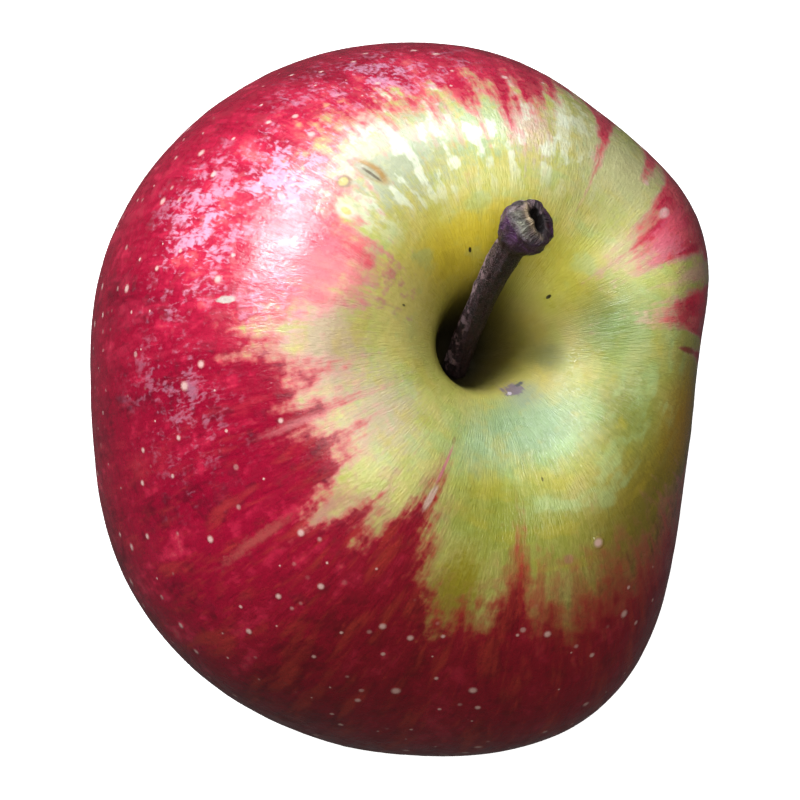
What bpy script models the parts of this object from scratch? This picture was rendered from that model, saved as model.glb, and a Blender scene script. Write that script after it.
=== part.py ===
"""A whole ripe apple with its stem and the dried calyx in its base.

Units are metres and +Z is up. The apple stands on the five lobes round its calyx,
and the origin is the middle of the box round it, at the level of the table.

The skin is one closed form: a ball whose height follows an apple's turned profile,
with a stem cavity above and a calyx basin below, and whose girth is pushed in and
out by a few waves, because no apple is round.
"""
import math
from typing import NamedTuple

import bmesh
import bpy
from mathutils import Vector
from mathutils.geometry import interpolate_bezier

PART_NAME = "apple"

# Profile of the fruit, measured from the middle of its girth on the core axis
GIRTH_RADIUS = 0.038
CORE_HALF_HEIGHT = 0.0395
POLE_SINK = 0.004
TOP_TAPER = -0.034

# Stem cavity: a wide bowl, and a narrow throat in it that stands a little off the core axis.
# The throat's wall is steep on one side and runs out gently on the other.
CAVITY_DEPTH = 0.0142
CAVITY_WIDTH = 0.0136
THROAT_DEPTH = 0.0080
THROAT_CENTRE = (-0.0007, -0.0017)
STEEP_WIDTH = 0.0042
STEEP_POWER = 5.0
GENTLE_WIDTH = 0.0050
GENTLE_POWER = 1.7
GENTLE_AZIMUTH = 105.0

# Calyx basin
BASIN_DEPTH = 0.015
BASIN_WIDTH = 0.0115

# Five low lobes round the stem cavity and five feet round the basin
LOBES = 5
LOBE_AZIMUTH = 7.0
LOBE_RING_WIDTH = 0.006
CROWN_HEIGHT = 0.0007
CROWN_RADIUS = 0.017
FOOT_HEIGHT = 0.0009
FOOT_RADIUS = 0.015
FOOT_FLAT_DEPTH = 0.0004


class GirthWave(NamedTuple):
    """One wave round the girth: how often, how far, how much more at the top, and where it crests."""

    count: int
    share: float
    top_extra: float
    azimuth: float


GIRTH_WAVES = (
    GirthWave(count=1, share=0.128, top_extra=0.057, azimuth=-84.0),
    GirthWave(count=2, share=0.088, top_extra=0.018, azimuth=-26.0),
    GirthWave(count=3, share=0.027, top_extra=0.073, azimuth=-11.0),
    GirthWave(count=4, share=0.015, top_extra=0.034, azimuth=10.0),
    GirthWave(count=5, share=0.012, top_extra=0.036, azimuth=7.0),
    GirthWave(count=6, share=0.006, top_extra=0.006, azimuth=-7.0),
    GirthWave(count=7, share=0.000, top_extra=-0.038, azimuth=21.0),
)

# Place of the core axis in the part's frame
CORE_X = -0.0019
CORE_Y = 0.0040

# Skin mesh: rows crowd towards the poles, where the cavity and the basin turn fastest
SKIN_MERIDIANS = 64
SKIN_ROWS = 56
POLE_CROWDING = 0.65

# Stem: a woody stalk with a clubbed, slanting end that has a small hollow
STEM_ROOT = (0.0007, -0.0022)
STEM_ROOT_GAP = 0.0006
STEM_LEAN = (-0.0036, 0.0002, 0.0084)
STEM_TIP = (-0.0104, 0.0046, 0.0353)
STEM_END_DIRECTION = (-0.08, 0.52, 0.85)
STEM_END_PULL = 0.0045
STEM_BASE_RADIUS = 0.0014
STEM_WAIST_RADIUS = 0.00135
STEM_NECK_RADIUS = 0.0016
KNOB_RADIUS = 0.0028
STEM_ROOT_TAPER = 0.004
NECK_START = 0.013
KNOB_START = 0.0048
KNOB_FULL = 0.0019
RIM_ROUNDING = 0.0007
ROOT_ROUNDING = 0.0006
HOLLOW_RADIUS = 0.0014
HOLLOW_DEPTH = 0.0014
STEM_END_SLANT = 5.0
STEM_SLANT_AZIMUTH = -80.0
STEM_SLANT_REACH = 0.006
STEM_SIDES = 18
STEM_ROWS = 26
STEM_PATH_POINTS = 200

# Calyx: a dried star of five sepals in the basin
SEPALS = 5
SEPAL_TIP_RADIUS = 0.0064
SEPAL_NOTCH_RADIUS = 0.0034
SEPAL_POINT = 1.4
SEPAL_LIFT = 0.0016
SEPAL_CURL = 0.0008
SEPAL_THICKNESS = 0.0006
CALYX_GAP = 0.0003
CALYX_AZIMUTH = 11.0
CALYX_RINGS = 9
CALYX_STEPS = 60

MERGE_DISTANCE = 0.00002


def clear_scene():
    """Remove every object, so that only the apple is left."""
    for item in list(bpy.data.objects):
        bpy.data.objects.remove(item, do_unlink=True)


def make_material(name, colour, roughness):
    """Return a plain Principled material."""
    material = bpy.data.materials.new(name)
    material.use_nodes = True
    shader = material.node_tree.nodes["Principled BSDF"]
    shader.inputs["Base Color"].default_value = (*colour, 1.0)
    shader.inputs["Roughness"].default_value = roughness
    shader.inputs["Metallic"].default_value = 0.0
    return material


def profile_height(polar, lobe):
    """Height of the turned profile at a polar angle from the stem, where lobe is 1 on a lobe's crest."""
    cosine = math.cos(polar)
    radius = GIRTH_RADIUS * math.sin(polar) * (1 + TOP_TAPER * cosine)
    height = CORE_HALF_HEIGHT * cosine - POLE_SINK * cosine**2
    if cosine > 0:
        height -= CAVITY_DEPTH * math.exp(-(radius / CAVITY_WIDTH) ** 2)
        height += CROWN_HEIGHT * lobe * math.exp(-(((radius - CROWN_RADIUS) / LOBE_RING_WIDTH) ** 2))
    else:
        height += BASIN_DEPTH * math.exp(-(radius / BASIN_WIDTH) ** 2)
        height -= FOOT_HEIGHT * lobe * math.exp(-(((radius - FOOT_RADIUS) / LOBE_RING_WIDTH) ** 2))
    return height


def throat_drop(x, y):
    """How far the throat sinks the floor of the stem cavity at a place beside the core axis."""
    east, north = x - THROAT_CENTRE[0], y - THROAT_CENTRE[1]
    heading = math.atan2(north, east) - math.radians(GENTLE_AZIMUTH)
    gentle = (0.5 + 0.5 * math.cos(heading)) ** 2
    width = STEEP_WIDTH + (GENTLE_WIDTH - STEEP_WIDTH) * gentle
    power = STEEP_POWER + (GENTLE_POWER - STEEP_POWER) * gentle
    return THROAT_DEPTH * math.exp(-((math.hypot(east, north) / width) ** power))


def skin_point(polar, azimuth):
    """The skin's point at a polar angle from the stem and an azimuth, from the girth's middle."""
    cosine = math.cos(polar)
    sine = math.sin(polar)
    lobe = math.cos(LOBES * (azimuth - math.radians(LOBE_AZIMUTH)))
    swell = 1.0
    for wave in GIRTH_WAVES:
        share = (wave.share + wave.top_extra * cosine) * sine**2
        swell += share * math.cos(wave.count * (azimuth - math.radians(wave.azimuth)))
    radius = GIRTH_RADIUS * sine * (1 + TOP_TAPER * cosine) * swell
    x = radius * math.cos(azimuth)
    y = radius * math.sin(azimuth)
    height = profile_height(polar, lobe)
    if cosine > 0:
        height -= throat_drop(x, y)
    return Vector((x, y, height))


def table_level():
    """Height of the table below the girth's middle, where each foot is pressed flat by a little."""
    steps = 720
    lowest = min(profile_height(math.pi * step / steps, 1.0) for step in range(steps // 2, steps + 1))
    return lowest + FOOT_FLAT_DEPTH


def to_part_frame(point):
    """Move a point from the girth's middle on the core axis into the part's frame."""
    return Vector((point.x + CORE_X, point.y + CORE_Y, point.z - table_level()))


def crowd_to_poles(polar):
    """Spread evenly spaced polar angles so that more rows lie near both poles."""
    return polar - POLE_CROWDING / 2 * math.sin(2 * polar)


def finish_object(name, mesh, material, collection):
    """Link a smooth shaded object that carries one material."""
    mesh.shade_smooth()
    mesh.materials.clear()
    mesh.materials.append(material)
    item = bpy.data.objects.new(name, mesh)
    collection.objects.link(item)
    return item


def make_skin(collection, material):
    """The whole fruit: a ball mapped onto the apple's form, with five small flats to stand on."""
    ball = bmesh.new()
    bmesh.ops.create_uvsphere(ball, u_segments=SKIN_MERIDIANS, v_segments=SKIN_ROWS, radius=1.0)
    for vertex in ball.verts:
        polar = crowd_to_poles(math.acos(max(-1.0, min(1.0, vertex.co.z))))
        azimuth = math.atan2(vertex.co.y, vertex.co.x)
        place = to_part_frame(skin_point(polar, azimuth))
        place.z = max(place.z, 0.0)
        vertex.co = place
    bmesh.ops.triangulate(ball, faces=ball.faces[:])
    mesh = bpy.data.meshes.new("apple")
    ball.to_mesh(mesh)
    ball.free()
    return finish_object("apple", mesh, material, collection)


def turned_mesh(name, profile, steps, collection):
    """Turn a profile of radius and height pairs round Z with a Screw modifier, and return the mesh."""
    outline = bpy.data.meshes.new(name)
    points = [(radius, 0.0, height) for radius, height in profile]
    outline.from_pydata(points, [(row, row + 1) for row in range(len(points) - 1)], [])
    item = bpy.data.objects.new(name, outline)
    collection.objects.link(item)
    screw = item.modifiers.new("turn", "SCREW")
    screw.axis = "Z"
    screw.steps = steps
    screw.render_steps = steps
    screw.use_merge_vertices = True
    screw.merge_threshold = MERGE_DISTANCE
    graph = bpy.context.evaluated_depsgraph_get()
    mesh = bpy.data.meshes.new_from_object(item.evaluated_get(graph))
    bpy.data.objects.remove(item, do_unlink=True)
    bpy.data.meshes.remove(outline)
    return mesh


def smooth_step(value):
    """Ease from 0 to 1."""
    value = max(0.0, min(1.0, value))
    return value * value * (3 - 2 * value)


def stem_path():
    """Points along the middle of the stalk, leaning out of the throat and turning up at its end."""
    reach = math.hypot(*STEM_ROOT) + STEM_BASE_RADIUS
    bowl = profile_height(math.asin(reach / GIRTH_RADIUS), 0.0)
    root = Vector((*STEM_ROOT, bowl - throat_drop(*STEM_ROOT) + STEM_ROOT_GAP))
    tip = Vector(STEM_TIP)
    root_handle = root + Vector(STEM_LEAN)
    tip_handle = tip - Vector(STEM_END_DIRECTION).normalized() * STEM_END_PULL
    return interpolate_bezier(root, root_handle, tip_handle, tip, STEM_PATH_POINTS)


def stem_radius(along, length):
    """Radius of the stalk at a distance from its root: a waist, then a neck that swells to the knob."""
    below = length - along
    foot = STEM_BASE_RADIUS + (STEM_WAIST_RADIUS - STEM_BASE_RADIUS) * smooth_step(along / STEM_ROOT_TAPER)
    neck_share = smooth_step((NECK_START - below) / (NECK_START - KNOB_START))
    knob_share = smooth_step((KNOB_START - below) / (KNOB_START - KNOB_FULL))
    neck = (STEM_NECK_RADIUS - STEM_WAIST_RADIUS) * neck_share
    knob = (KNOB_RADIUS - STEM_NECK_RADIUS) * knob_share
    return foot + neck + knob


def stem_profile(length):
    """Radius and distance pairs from the middle of the hollow, over the rim and down to the root."""
    profile = []
    for turn in (0, 30, 60, 90):
        angle = math.radians(turn)
        profile.append((HOLLOW_RADIUS * math.sin(angle), length - HOLLOW_DEPTH * math.cos(angle)))
    for turn in (0, 30, 60, 90):
        angle = math.radians(turn)
        inset = RIM_ROUNDING * (1 - math.sin(angle))
        profile.append((KNOB_RADIUS - inset, length - RIM_ROUNDING * (1 - math.cos(angle))))
    body = length - RIM_ROUNDING - ROOT_ROUNDING
    for row in range(1, STEM_ROWS):
        along = ROOT_ROUNDING + body * (1 - row / STEM_ROWS)
        profile.append((stem_radius(along, length), along))
    for turn in (0, 30, 60, 90):
        angle = math.radians(turn)
        inset = ROOT_ROUNDING * (1 - math.cos(angle))
        profile.append((STEM_BASE_RADIUS - inset, ROOT_ROUNDING * (1 - math.sin(angle))))
    profile.append((0.0, 0.0))
    return profile


def place_on_path(path, along):
    """Point and direction at a distance along a path, carried straight on past its end."""
    gone = 0.0
    for start, end in zip(path, path[1:]):
        step = (end - start).length
        if gone + step >= along:
            break
        gone += step
    direction = (end - start).normalized()
    return start + direction * (along - gone), direction


def make_stem(collection, material):
    """The stalk: turned straight, its end cut slantwise, then bent along its path."""
    path = stem_path()
    length = sum((end - start).length for start, end in zip(path, path[1:]))
    mesh = turned_mesh("stem", stem_profile(length), STEM_SIDES, collection)
    slant = math.tan(math.radians(STEM_END_SLANT))
    heading = math.radians(STEM_SLANT_AZIMUTH)
    upright = Vector((0.0, 0.0, 1.0))
    for vertex in mesh.vertices:
        x, y, along = vertex.co
        weight = smooth_step((along - (length - STEM_SLANT_REACH)) / STEM_SLANT_REACH)
        along -= weight * slant * (x * math.cos(heading) + y * math.sin(heading))
        centre, direction = place_on_path(path, along)
        turn = upright.rotation_difference(direction)
        vertex.co = to_part_frame(centre + turn @ Vector((x, y, 0.0)))
    return finish_object("stem", mesh, material, collection)


def basin_floor(radius):
    """Height of the basin's floor at a distance from the core axis, between two lobes."""
    return profile_height(math.pi - math.asin(radius / GIRTH_RADIUS), 0.0)


def make_calyx(collection, material):
    """The dried calyx: a turned disc drawn out into five sepals, then given its thickness."""
    profile = [(ring / CALYX_RINGS, 0.0) for ring in range(CALYX_RINGS + 1)]
    mesh = turned_mesh("calyx", profile, CALYX_STEPS, collection)
    start = math.radians(CALYX_AZIMUTH)
    for vertex in mesh.vertices:
        share = math.hypot(vertex.co.x, vertex.co.y)
        azimuth = math.atan2(vertex.co.y, vertex.co.x)
        point = abs(math.cos(SEPALS / 2 * (azimuth - start))) ** SEPAL_POINT
        reach = SEPAL_NOTCH_RADIUS + (SEPAL_TIP_RADIUS - SEPAL_NOTCH_RADIUS) * point
        radius = share * reach
        lift = (SEPAL_LIFT + SEPAL_CURL * point) * share**2
        height = basin_floor(radius) - CALYX_GAP - SEPAL_THICKNESS / 2 - lift
        place = Vector((radius * math.cos(azimuth), radius * math.sin(azimuth), height))
        vertex.co = to_part_frame(place)
    item = finish_object("calyx", mesh, material, collection)
    wall = item.modifiers.new("wall", "SOLIDIFY")
    wall.thickness = SEPAL_THICKNESS
    wall.offset = 0.0
    return item


def main():
    """Build the apple and its two dried ends."""
    clear_scene()
    collection = bpy.data.collections.new(PART_NAME)
    bpy.context.scene.collection.children.link(collection)
    make_skin(collection, make_material("apple_skin", (0.50, 0.03, 0.06), 0.32))
    make_stem(collection, make_material("apple_stem", (0.09, 0.05, 0.045), 0.6))
    make_calyx(collection, make_material("apple_calyx", (0.13, 0.08, 0.045), 0.85))


main()
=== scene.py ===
"""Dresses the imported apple: its fine skin, the pores on it, the woody stem, the dried calyx and the studio.

Units are metres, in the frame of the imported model: +Z is up and the apple stands on z = 0.
A bearing is the angle from straight up, seen from the middle of the fruit's girth on its core
axis, and an azimuth is the angle round that axis. Both place the blush, the streaks and each mark.
"""
import logging
import math
from dataclasses import asdict, dataclass
from enum import Enum
from functools import cache
from typing import Callable

import bmesh
import bpy
from mathutils import Matrix, Vector, noise
from mathutils.bvhtree import BVHTree
from mathutils.geometry import interpolate_bezier


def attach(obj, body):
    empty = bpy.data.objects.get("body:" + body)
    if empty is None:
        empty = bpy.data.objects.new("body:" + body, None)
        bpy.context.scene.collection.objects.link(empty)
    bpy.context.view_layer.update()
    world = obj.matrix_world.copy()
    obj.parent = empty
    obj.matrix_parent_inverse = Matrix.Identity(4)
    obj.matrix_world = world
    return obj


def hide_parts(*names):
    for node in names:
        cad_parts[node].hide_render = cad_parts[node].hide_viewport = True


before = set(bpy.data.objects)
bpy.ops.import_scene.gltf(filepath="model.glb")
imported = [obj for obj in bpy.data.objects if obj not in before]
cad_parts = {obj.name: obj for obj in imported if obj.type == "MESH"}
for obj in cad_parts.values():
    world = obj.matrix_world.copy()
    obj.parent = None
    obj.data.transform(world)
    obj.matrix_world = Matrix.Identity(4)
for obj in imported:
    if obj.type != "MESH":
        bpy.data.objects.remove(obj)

log = logging.getLogger("apple")

BODY = "root"
MERGE_DISTANCE = 0.00001

Socket = bpy.types.NodeSocket
Value = float | Socket
Colour = tuple[float, float, float]
Inputs = dict[str | int, object]


class Slot(Enum):
    """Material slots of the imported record."""

    SKIN = "skin"
    STEM = "stem"
    CALYX = "calyx"


class Kind(Enum):
    """The two kinds of node tree that are built here."""

    GEOMETRY = "GeometryNodeTree"
    SHADER = "ShaderNodeTree"


def paint(red: int, green: int, blue: int) -> Colour:
    """Turn a screen colour into the linear one that a shader takes.

    Args:
        red: Red, from 0 to 255.
        green: Green, from 0 to 255.
        blue: Blue, from 0 to 255.

    Returns:
        The linear colour.
    """
    linear = []
    for part in (red, green, blue):
        share = part / 255
        linear.append(share / 12.92 if share <= 0.04045 else ((share + 0.055) / 1.055) ** 2.4)
    return tuple(linear)


def smooth_step(value: float) -> float:
    """Ease from 0 to 1."""
    value = max(0.0, min(1.0, value))
    return value * value * (3 - 2 * value)


def mix_values(start: float, end: float, share: float) -> float:
    """Return the value at a share of the way from start to end."""
    return start + (end - start) * share


def near(value: float, middle: float, reach: float) -> float:
    """A soft bump of 1 at a middle that is gone past its reach."""
    return smooth_step(1 - abs(value - middle) / reach)


SOCKET_TYPES = {
    bool: "NodeSocketBool", int: "NodeSocketInt", float: "NodeSocketFloat", tuple: "NodeSocketVector",
}


class Net:
    """One node tree, with short calls that add a node and join it up."""

    def __init__(self, tree: bpy.types.NodeTree) -> None:
        """Keep the tree that nodes are added to."""
        self.tree = tree

    def feed(self, socket: Socket, value: object) -> None:
        """Link a socket to another one, or set its value.

        Args:
            socket: The input that is fed.
            value: A socket to link from, or a plain value.
        """
        if isinstance(value, bpy.types.NodeSocket):
            self.tree.links.new(value, socket)
        elif isinstance(value, tuple) and socket.type == "RGBA":
            socket.default_value = (*value, 1.0)
        else:
            socket.default_value = value

    def add(self, kind: str, inputs: Inputs | None = None, **settings: object) -> bpy.types.Node:
        """Add a node.

        Args:
            kind: The node's type name.
            inputs: What each input takes, by its name or place.
            settings: The node's own properties.

        Returns:
            The new node.
        """
        node = self.tree.nodes.new(kind)
        for name, setting in settings.items():
            setattr(node, name, setting)
        for name, value in (inputs or {}).items():
            self.feed(node.inputs[name], value)
        return node

    def math(self, operation: str, *values: Value) -> Socket:
        """Add one sum of numbers and return its result."""
        return self.add("ShaderNodeMath", dict(enumerate(values)), operation=operation).outputs[0]

    def times(self, value: Value, by: Value) -> Socket:
        """Multiply two numbers."""
        return self.math("MULTIPLY", value, by)

    def plus(self, value: Value, more: Value) -> Socket:
        """Add two numbers."""
        return self.math("ADD", value, more)

    def minus(self, value: Value, less: Value) -> Socket:
        """Take one number from another."""
        return self.math("SUBTRACT", value, less)

    def vector(self, operation: str, *values: object, scale: Value | None = None) -> Socket:
        """Add one sum of vectors and return its result, a number for a length or a dot product."""
        node = self.add("ShaderNodeVectorMath", dict(enumerate(values)), operation=operation)
        if scale is not None:
            self.feed(node.inputs["Scale"], scale)
        return node.outputs["Value" if operation in ("LENGTH", "DOT_PRODUCT") else "Vector"]

    def total(self, values: list[Socket]) -> Socket:
        """Return the sum of several values."""
        result = values[0]
        for value in values[1:]:
            result = self.math("ADD", result, value)
        return result

    def combine(self, x: Value, y: Value, z: Value) -> Socket:
        """Join three numbers into a vector."""
        return self.add("ShaderNodeCombineXYZ", {0: x, 1: y, 2: z}).outputs[0]

    def separate(self, vector: Socket) -> tuple[Socket, Socket, Socket]:
        """Split a vector into its three numbers."""
        node = self.add("ShaderNodeSeparateXYZ", {0: vector})
        return node.outputs[0], node.outputs[1], node.outputs[2]

    def ramp(self, value: Value, low: Value, high: Value, start: Value = 0.0, end: Value = 1.0) -> Socket:
        """Ease from start to end while a value goes from low to high."""
        inputs = {"Value": value, "From Min": low, "From Max": high, "To Min": start, "To Max": end}
        return self.add("ShaderNodeMapRange", inputs, interpolation_type="SMOOTHSTEP").outputs[0]

    def between(self, share: Value, start: Value, end: Value) -> Socket:
        """Go straight from start to end by a share."""
        return self.add("ShaderNodeMix", {0: share, 2: start, 3: end}, data_type="FLOAT").outputs[0]

    def noise(self, vector: Socket, scale: Value, detail: float, rough: float, seed: Value) -> Socket:
        """Add a soft noise of four dimensions, where the fourth is its seed, and return its value."""
        inputs = {"Vector": vector, "W": seed, "Scale": scale, "Detail": detail, "Roughness": rough}
        return self.add("ShaderNodeTexNoise", inputs, noise_dimensions="4D").outputs[0]

    def cells(self, vector: Socket, scale: Value, seed: Value) -> bpy.types.Node:
        """Add a pattern of cells and return its node."""
        inputs = {"Vector": vector, "W": seed, "Scale": scale}
        return self.add("ShaderNodeTexVoronoi", inputs, voronoi_dimensions="4D")

    def blend(self, share: Value, under: object, over: object) -> Socket:
        """Lay one colour over another by a share."""
        node = self.add("ShaderNodeMix", data_type="RGBA", blend_type="MIX", clamp_factor=True)
        self.feed(node.inputs[0], share)
        self.feed(node.inputs[6], under)
        self.feed(node.inputs[7], over)
        return node.outputs[2]

    def centred(self, value: Socket, reach: float) -> Socket:
        """Move a noise round 0 and stretch it to a reach."""
        return self.times(self.minus(value, 0.5), reach)

    def chance(self, seed: Value) -> Socket:
        """Add a random number from 0 to 1 for each point."""
        return self.add("FunctionNodeRandomValue", {"Seed": seed}, data_type="FLOAT").outputs[1]

    def moved(self, geometry: Socket, place: object) -> Socket:
        """Move geometry by a vector."""
        return self.add("GeometryNodeTransform", {"Geometry": geometry, "Translation": place}).outputs[0]

    def joined(self, *pieces: Socket) -> Socket:
        """Join pieces of geometry."""
        node = self.add("GeometryNodeJoinGeometry")
        for piece in pieces:
            self.feed(node.inputs[0], piece)
        return node.outputs[0]

    def hand_out(self, geometry: Socket, material: Socket, result: bpy.types.Node) -> None:
        """End a geometry tree: realize what is instanced, shade it smooth and give it its material.

        Args:
            geometry: What the tree has made.
            material: The material's socket.
            result: The tree's output node.
        """
        real = self.add("GeometryNodeRealizeInstances", {"Geometry": geometry}).outputs[0]
        smooth = self.add("GeometryNodeSetShadeSmooth", {"Geometry": real}).outputs[0]
        dressed = self.add("GeometryNodeSetMaterial", {"Geometry": smooth, "Material": material})
        self.feed(result.inputs["Geometry"], dressed.outputs[0])

    def use(self, group: bpy.types.NodeTree, inputs: Inputs) -> bpy.types.Node:
        """Place a node group.

        Args:
            group: The group's tree.
            inputs: What each named input takes.

        Returns:
            The group's node.
        """
        kind = "GeometryNodeGroup" if group.bl_idname == Kind.GEOMETRY.value else "ShaderNodeGroup"
        return self.add(kind, inputs, node_tree=group)


Started = tuple[Net, bpy.types.Node, bpy.types.Node]


def new_tree(name: str, kind: Kind, inputs: Inputs, outputs: dict[str, str]) -> Started:
    """Start a node group with named sockets.

    Args:
        name: The group's name.
        kind: Whether it holds geometry or shader nodes.
        inputs: Each input's name and its default, or its socket type where it has none.
        outputs: Each output's name and its socket type.

    Returns:
        The net, its input node and its output node.
    """
    tree = bpy.data.node_groups.new(name, kind.value)
    for label, value in inputs.items():
        if isinstance(value, str):
            tree.interface.new_socket(label, in_out="INPUT", socket_type=value)
            continue
        socket = tree.interface.new_socket(label, in_out="INPUT", socket_type=SOCKET_TYPES[type(value)])
        socket.default_value = value
    for label, socket_type in outputs.items():
        tree.interface.new_socket(label, in_out="OUTPUT", socket_type=socket_type)
    net = Net(tree)
    return net, net.add("NodeGroupInput"), net.add("NodeGroupOutput")


def labelled(sizes: object) -> Inputs:
    """Turn a class's size fields into named inputs: girth_radius becomes Girth Radius."""
    return {name.replace("_", " ").title(): value for name, value in asdict(sizes).items()}


def link(name: str, mesh: bpy.types.Mesh) -> bpy.types.Object:
    """Put a mesh in the scene as an object at the origin."""
    piece = bpy.data.objects.new(name, mesh)
    bpy.context.scene.collection.objects.link(piece)
    return piece


def mesh_of(shell: bmesh.types.BMesh, name: str) -> bpy.types.Mesh:
    """Turn a mesh in the making into a finished one."""
    mesh = bpy.data.meshes.new(name)
    shell.to_mesh(mesh)
    shell.free()
    return mesh


def grow(
    name: str, tree: bpy.types.NodeTree, inputs: Inputs, base: bpy.types.Mesh | None = None,
) -> bpy.types.Object:
    """Run a geometry tree and keep its result as a plain mesh.

    Args:
        name: The piece's name.
        tree: The geometry tree.
        inputs: What each named input takes.
        base: The mesh that the tree starts from, or none.

    Returns:
        A linked object at the origin, with no modifier on it.
    """
    seed = link(name + "_seed", base or bpy.data.meshes.new(name + "_seed"))
    modifier = seed.modifiers.new("grow", "NODES")
    modifier.node_group = tree
    for item in tree.interface.items_tree:
        if item.item_type == "SOCKET" and item.in_out == "INPUT" and item.name in inputs:
            modifier[item.identifier] = inputs[item.name]
    bpy.context.view_layer.update()
    graph = bpy.context.evaluated_depsgraph_get()
    mesh = bpy.data.meshes.new_from_object(seed.evaluated_get(graph))
    mesh.name = name
    bpy.data.objects.remove(seed, do_unlink=True)
    return link(name, mesh)


def hand_over(piece: bpy.types.Object, slot: Slot, *nodes: str) -> bpy.types.Object:
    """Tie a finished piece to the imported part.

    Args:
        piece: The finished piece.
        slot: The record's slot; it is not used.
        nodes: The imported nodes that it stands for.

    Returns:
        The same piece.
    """
    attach(piece, BODY)
    if nodes:
        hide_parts(*nodes)
    log.info("%s: %d faces", piece.name, len(piece.data.polygons))
    return piece


# Form of the fruit

@dataclass(frozen=True)
class Form:
    """Sizes of the fruit's form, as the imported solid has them, and of the fine relief on it."""

    girth_radius: float = 0.038
    core_half_height: float = 0.0395
    pole_sink: float = 0.004
    top_taper: float = -0.034
    cavity_depth: float = 0.0142
    cavity_width: float = 0.0136
    throat_depth: float = 0.0080
    throat_x: float = -0.0007
    throat_y: float = -0.0017
    steep_width: float = 0.0042
    steep_power: float = 5.0
    gentle_width: float = 0.0050
    gentle_power: float = 1.7
    gentle_azimuth: float = math.radians(105.0)
    basin_depth: float = 0.015
    basin_width: float = 0.0115
    lobes: float = 5.0
    lobe_azimuth: float = math.radians(7.0)
    lobe_ring_width: float = 0.006
    crown_height: float = 0.0007
    crown_radius: float = 0.017
    foot_height: float = 0.0009
    foot_radius: float = 0.015
    pole_crowding: float = 0.65
    core_x: float = -0.0019
    core_y: float = 0.0040
    girth_level: float = 0.03771
    rib_relief: float = 0.00022
    dimple_relief: float = 0.00008
    meridians: int = 300
    rows: int = 232
    seed: float = 3.0

    @property
    def core(self) -> tuple[float, float, float]:
        """The middle of the girth on the core axis."""
        return self.core_x, self.core_y, self.girth_level


@dataclass(frozen=True)
class GirthWave:
    """One wave round the girth: how often, how far, how much more at the top, and where it crests."""

    count: int
    share: float
    top_extra: float
    azimuth: float


GIRTH_WAVES = (
    GirthWave(count=1, share=0.128, top_extra=0.057, azimuth=-84.0),
    GirthWave(count=2, share=0.088, top_extra=0.018, azimuth=-26.0),
    GirthWave(count=3, share=0.027, top_extra=0.073, azimuth=-11.0),
    GirthWave(count=4, share=0.015, top_extra=0.034, azimuth=10.0),
    GirthWave(count=5, share=0.012, top_extra=0.036, azimuth=7.0),
    GirthWave(count=6, share=0.006, top_extra=0.006, azimuth=-7.0),
    GirthWave(count=7, share=0.000, top_extra=-0.038, azimuth=21.0),
)


@cache
def bearings_group(kind: Kind) -> bpy.types.NodeTree:
    """A group that turns a place into its direction round the core, its turn and its bearing.

    Args:
        kind: Whether the group is for geometry or for shaders.

    Returns:
        The group, with the outputs Around (a unit vector), Turn (0 to 1) and Bearing (radians).
    """
    net, source, result = new_tree(
        f"bearings_{kind.name.lower()}", kind,
        {"Place": (0.0, 0.0, 0.0), "Core": (0.0, 0.0, 0.0)},
        {"Around": "NodeSocketVector", "Turn": "NodeSocketFloat", "Bearing": "NodeSocketFloat"},
    )
    out = net.vector("SUBTRACT", source.outputs["Place"], source.outputs["Core"])
    x, y, z = net.separate(out)
    flat = net.combine(x, y, 0.0)
    azimuth = net.math("ARCTAN2", y, x)
    turn = net.math("MULTIPLY_ADD", azimuth, 1 / math.tau, 0.5)
    net.feed(result.inputs["Around"], net.vector("NORMALIZE", flat))
    net.feed(result.inputs["Turn"], turn)
    net.feed(result.inputs["Bearing"], net.math("ARCTAN2", net.vector("LENGTH", flat), z))
    return net.tree


@cache
def streaks_group(kind: Kind) -> bpy.types.NodeTree:
    """A group that draws streaks along the meridians, without a seam.

    Args:
        kind: Whether the group is for geometry or for shaders.

    Returns:
        The group, with the output Streak, about 0 to 1.
    """
    net, source, result = new_tree(
        f"streaks_{kind.name.lower()}", kind,
        {"Around": (1.0, 0.0, 0.0), "Bearing": 0.0, "Across": 10.0, "Along": 2.0, "Wander": 0.0, "Seed": 0.0},
        {"Streak": "NodeSocketFloat"},
    )
    take = source.outputs
    along = net.times(take["Bearing"], take["Along"])
    x, y, _ = net.separate(net.vector("SCALE", take["Around"], scale=take["Across"]))
    sway = net.noise(net.combine(x, y, along), 0.35, 1.0, 0.5, net.plus(take["Seed"], 7.3))
    sway = net.times(net.minus(sway, 0.5), take["Wander"])
    place = net.combine(net.plus(x, sway), net.minus(y, sway), along)
    net.feed(result.inputs["Streak"], net.noise(place, 1.0, 3.0, 0.55, take["Seed"]))
    return net.tree


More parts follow.
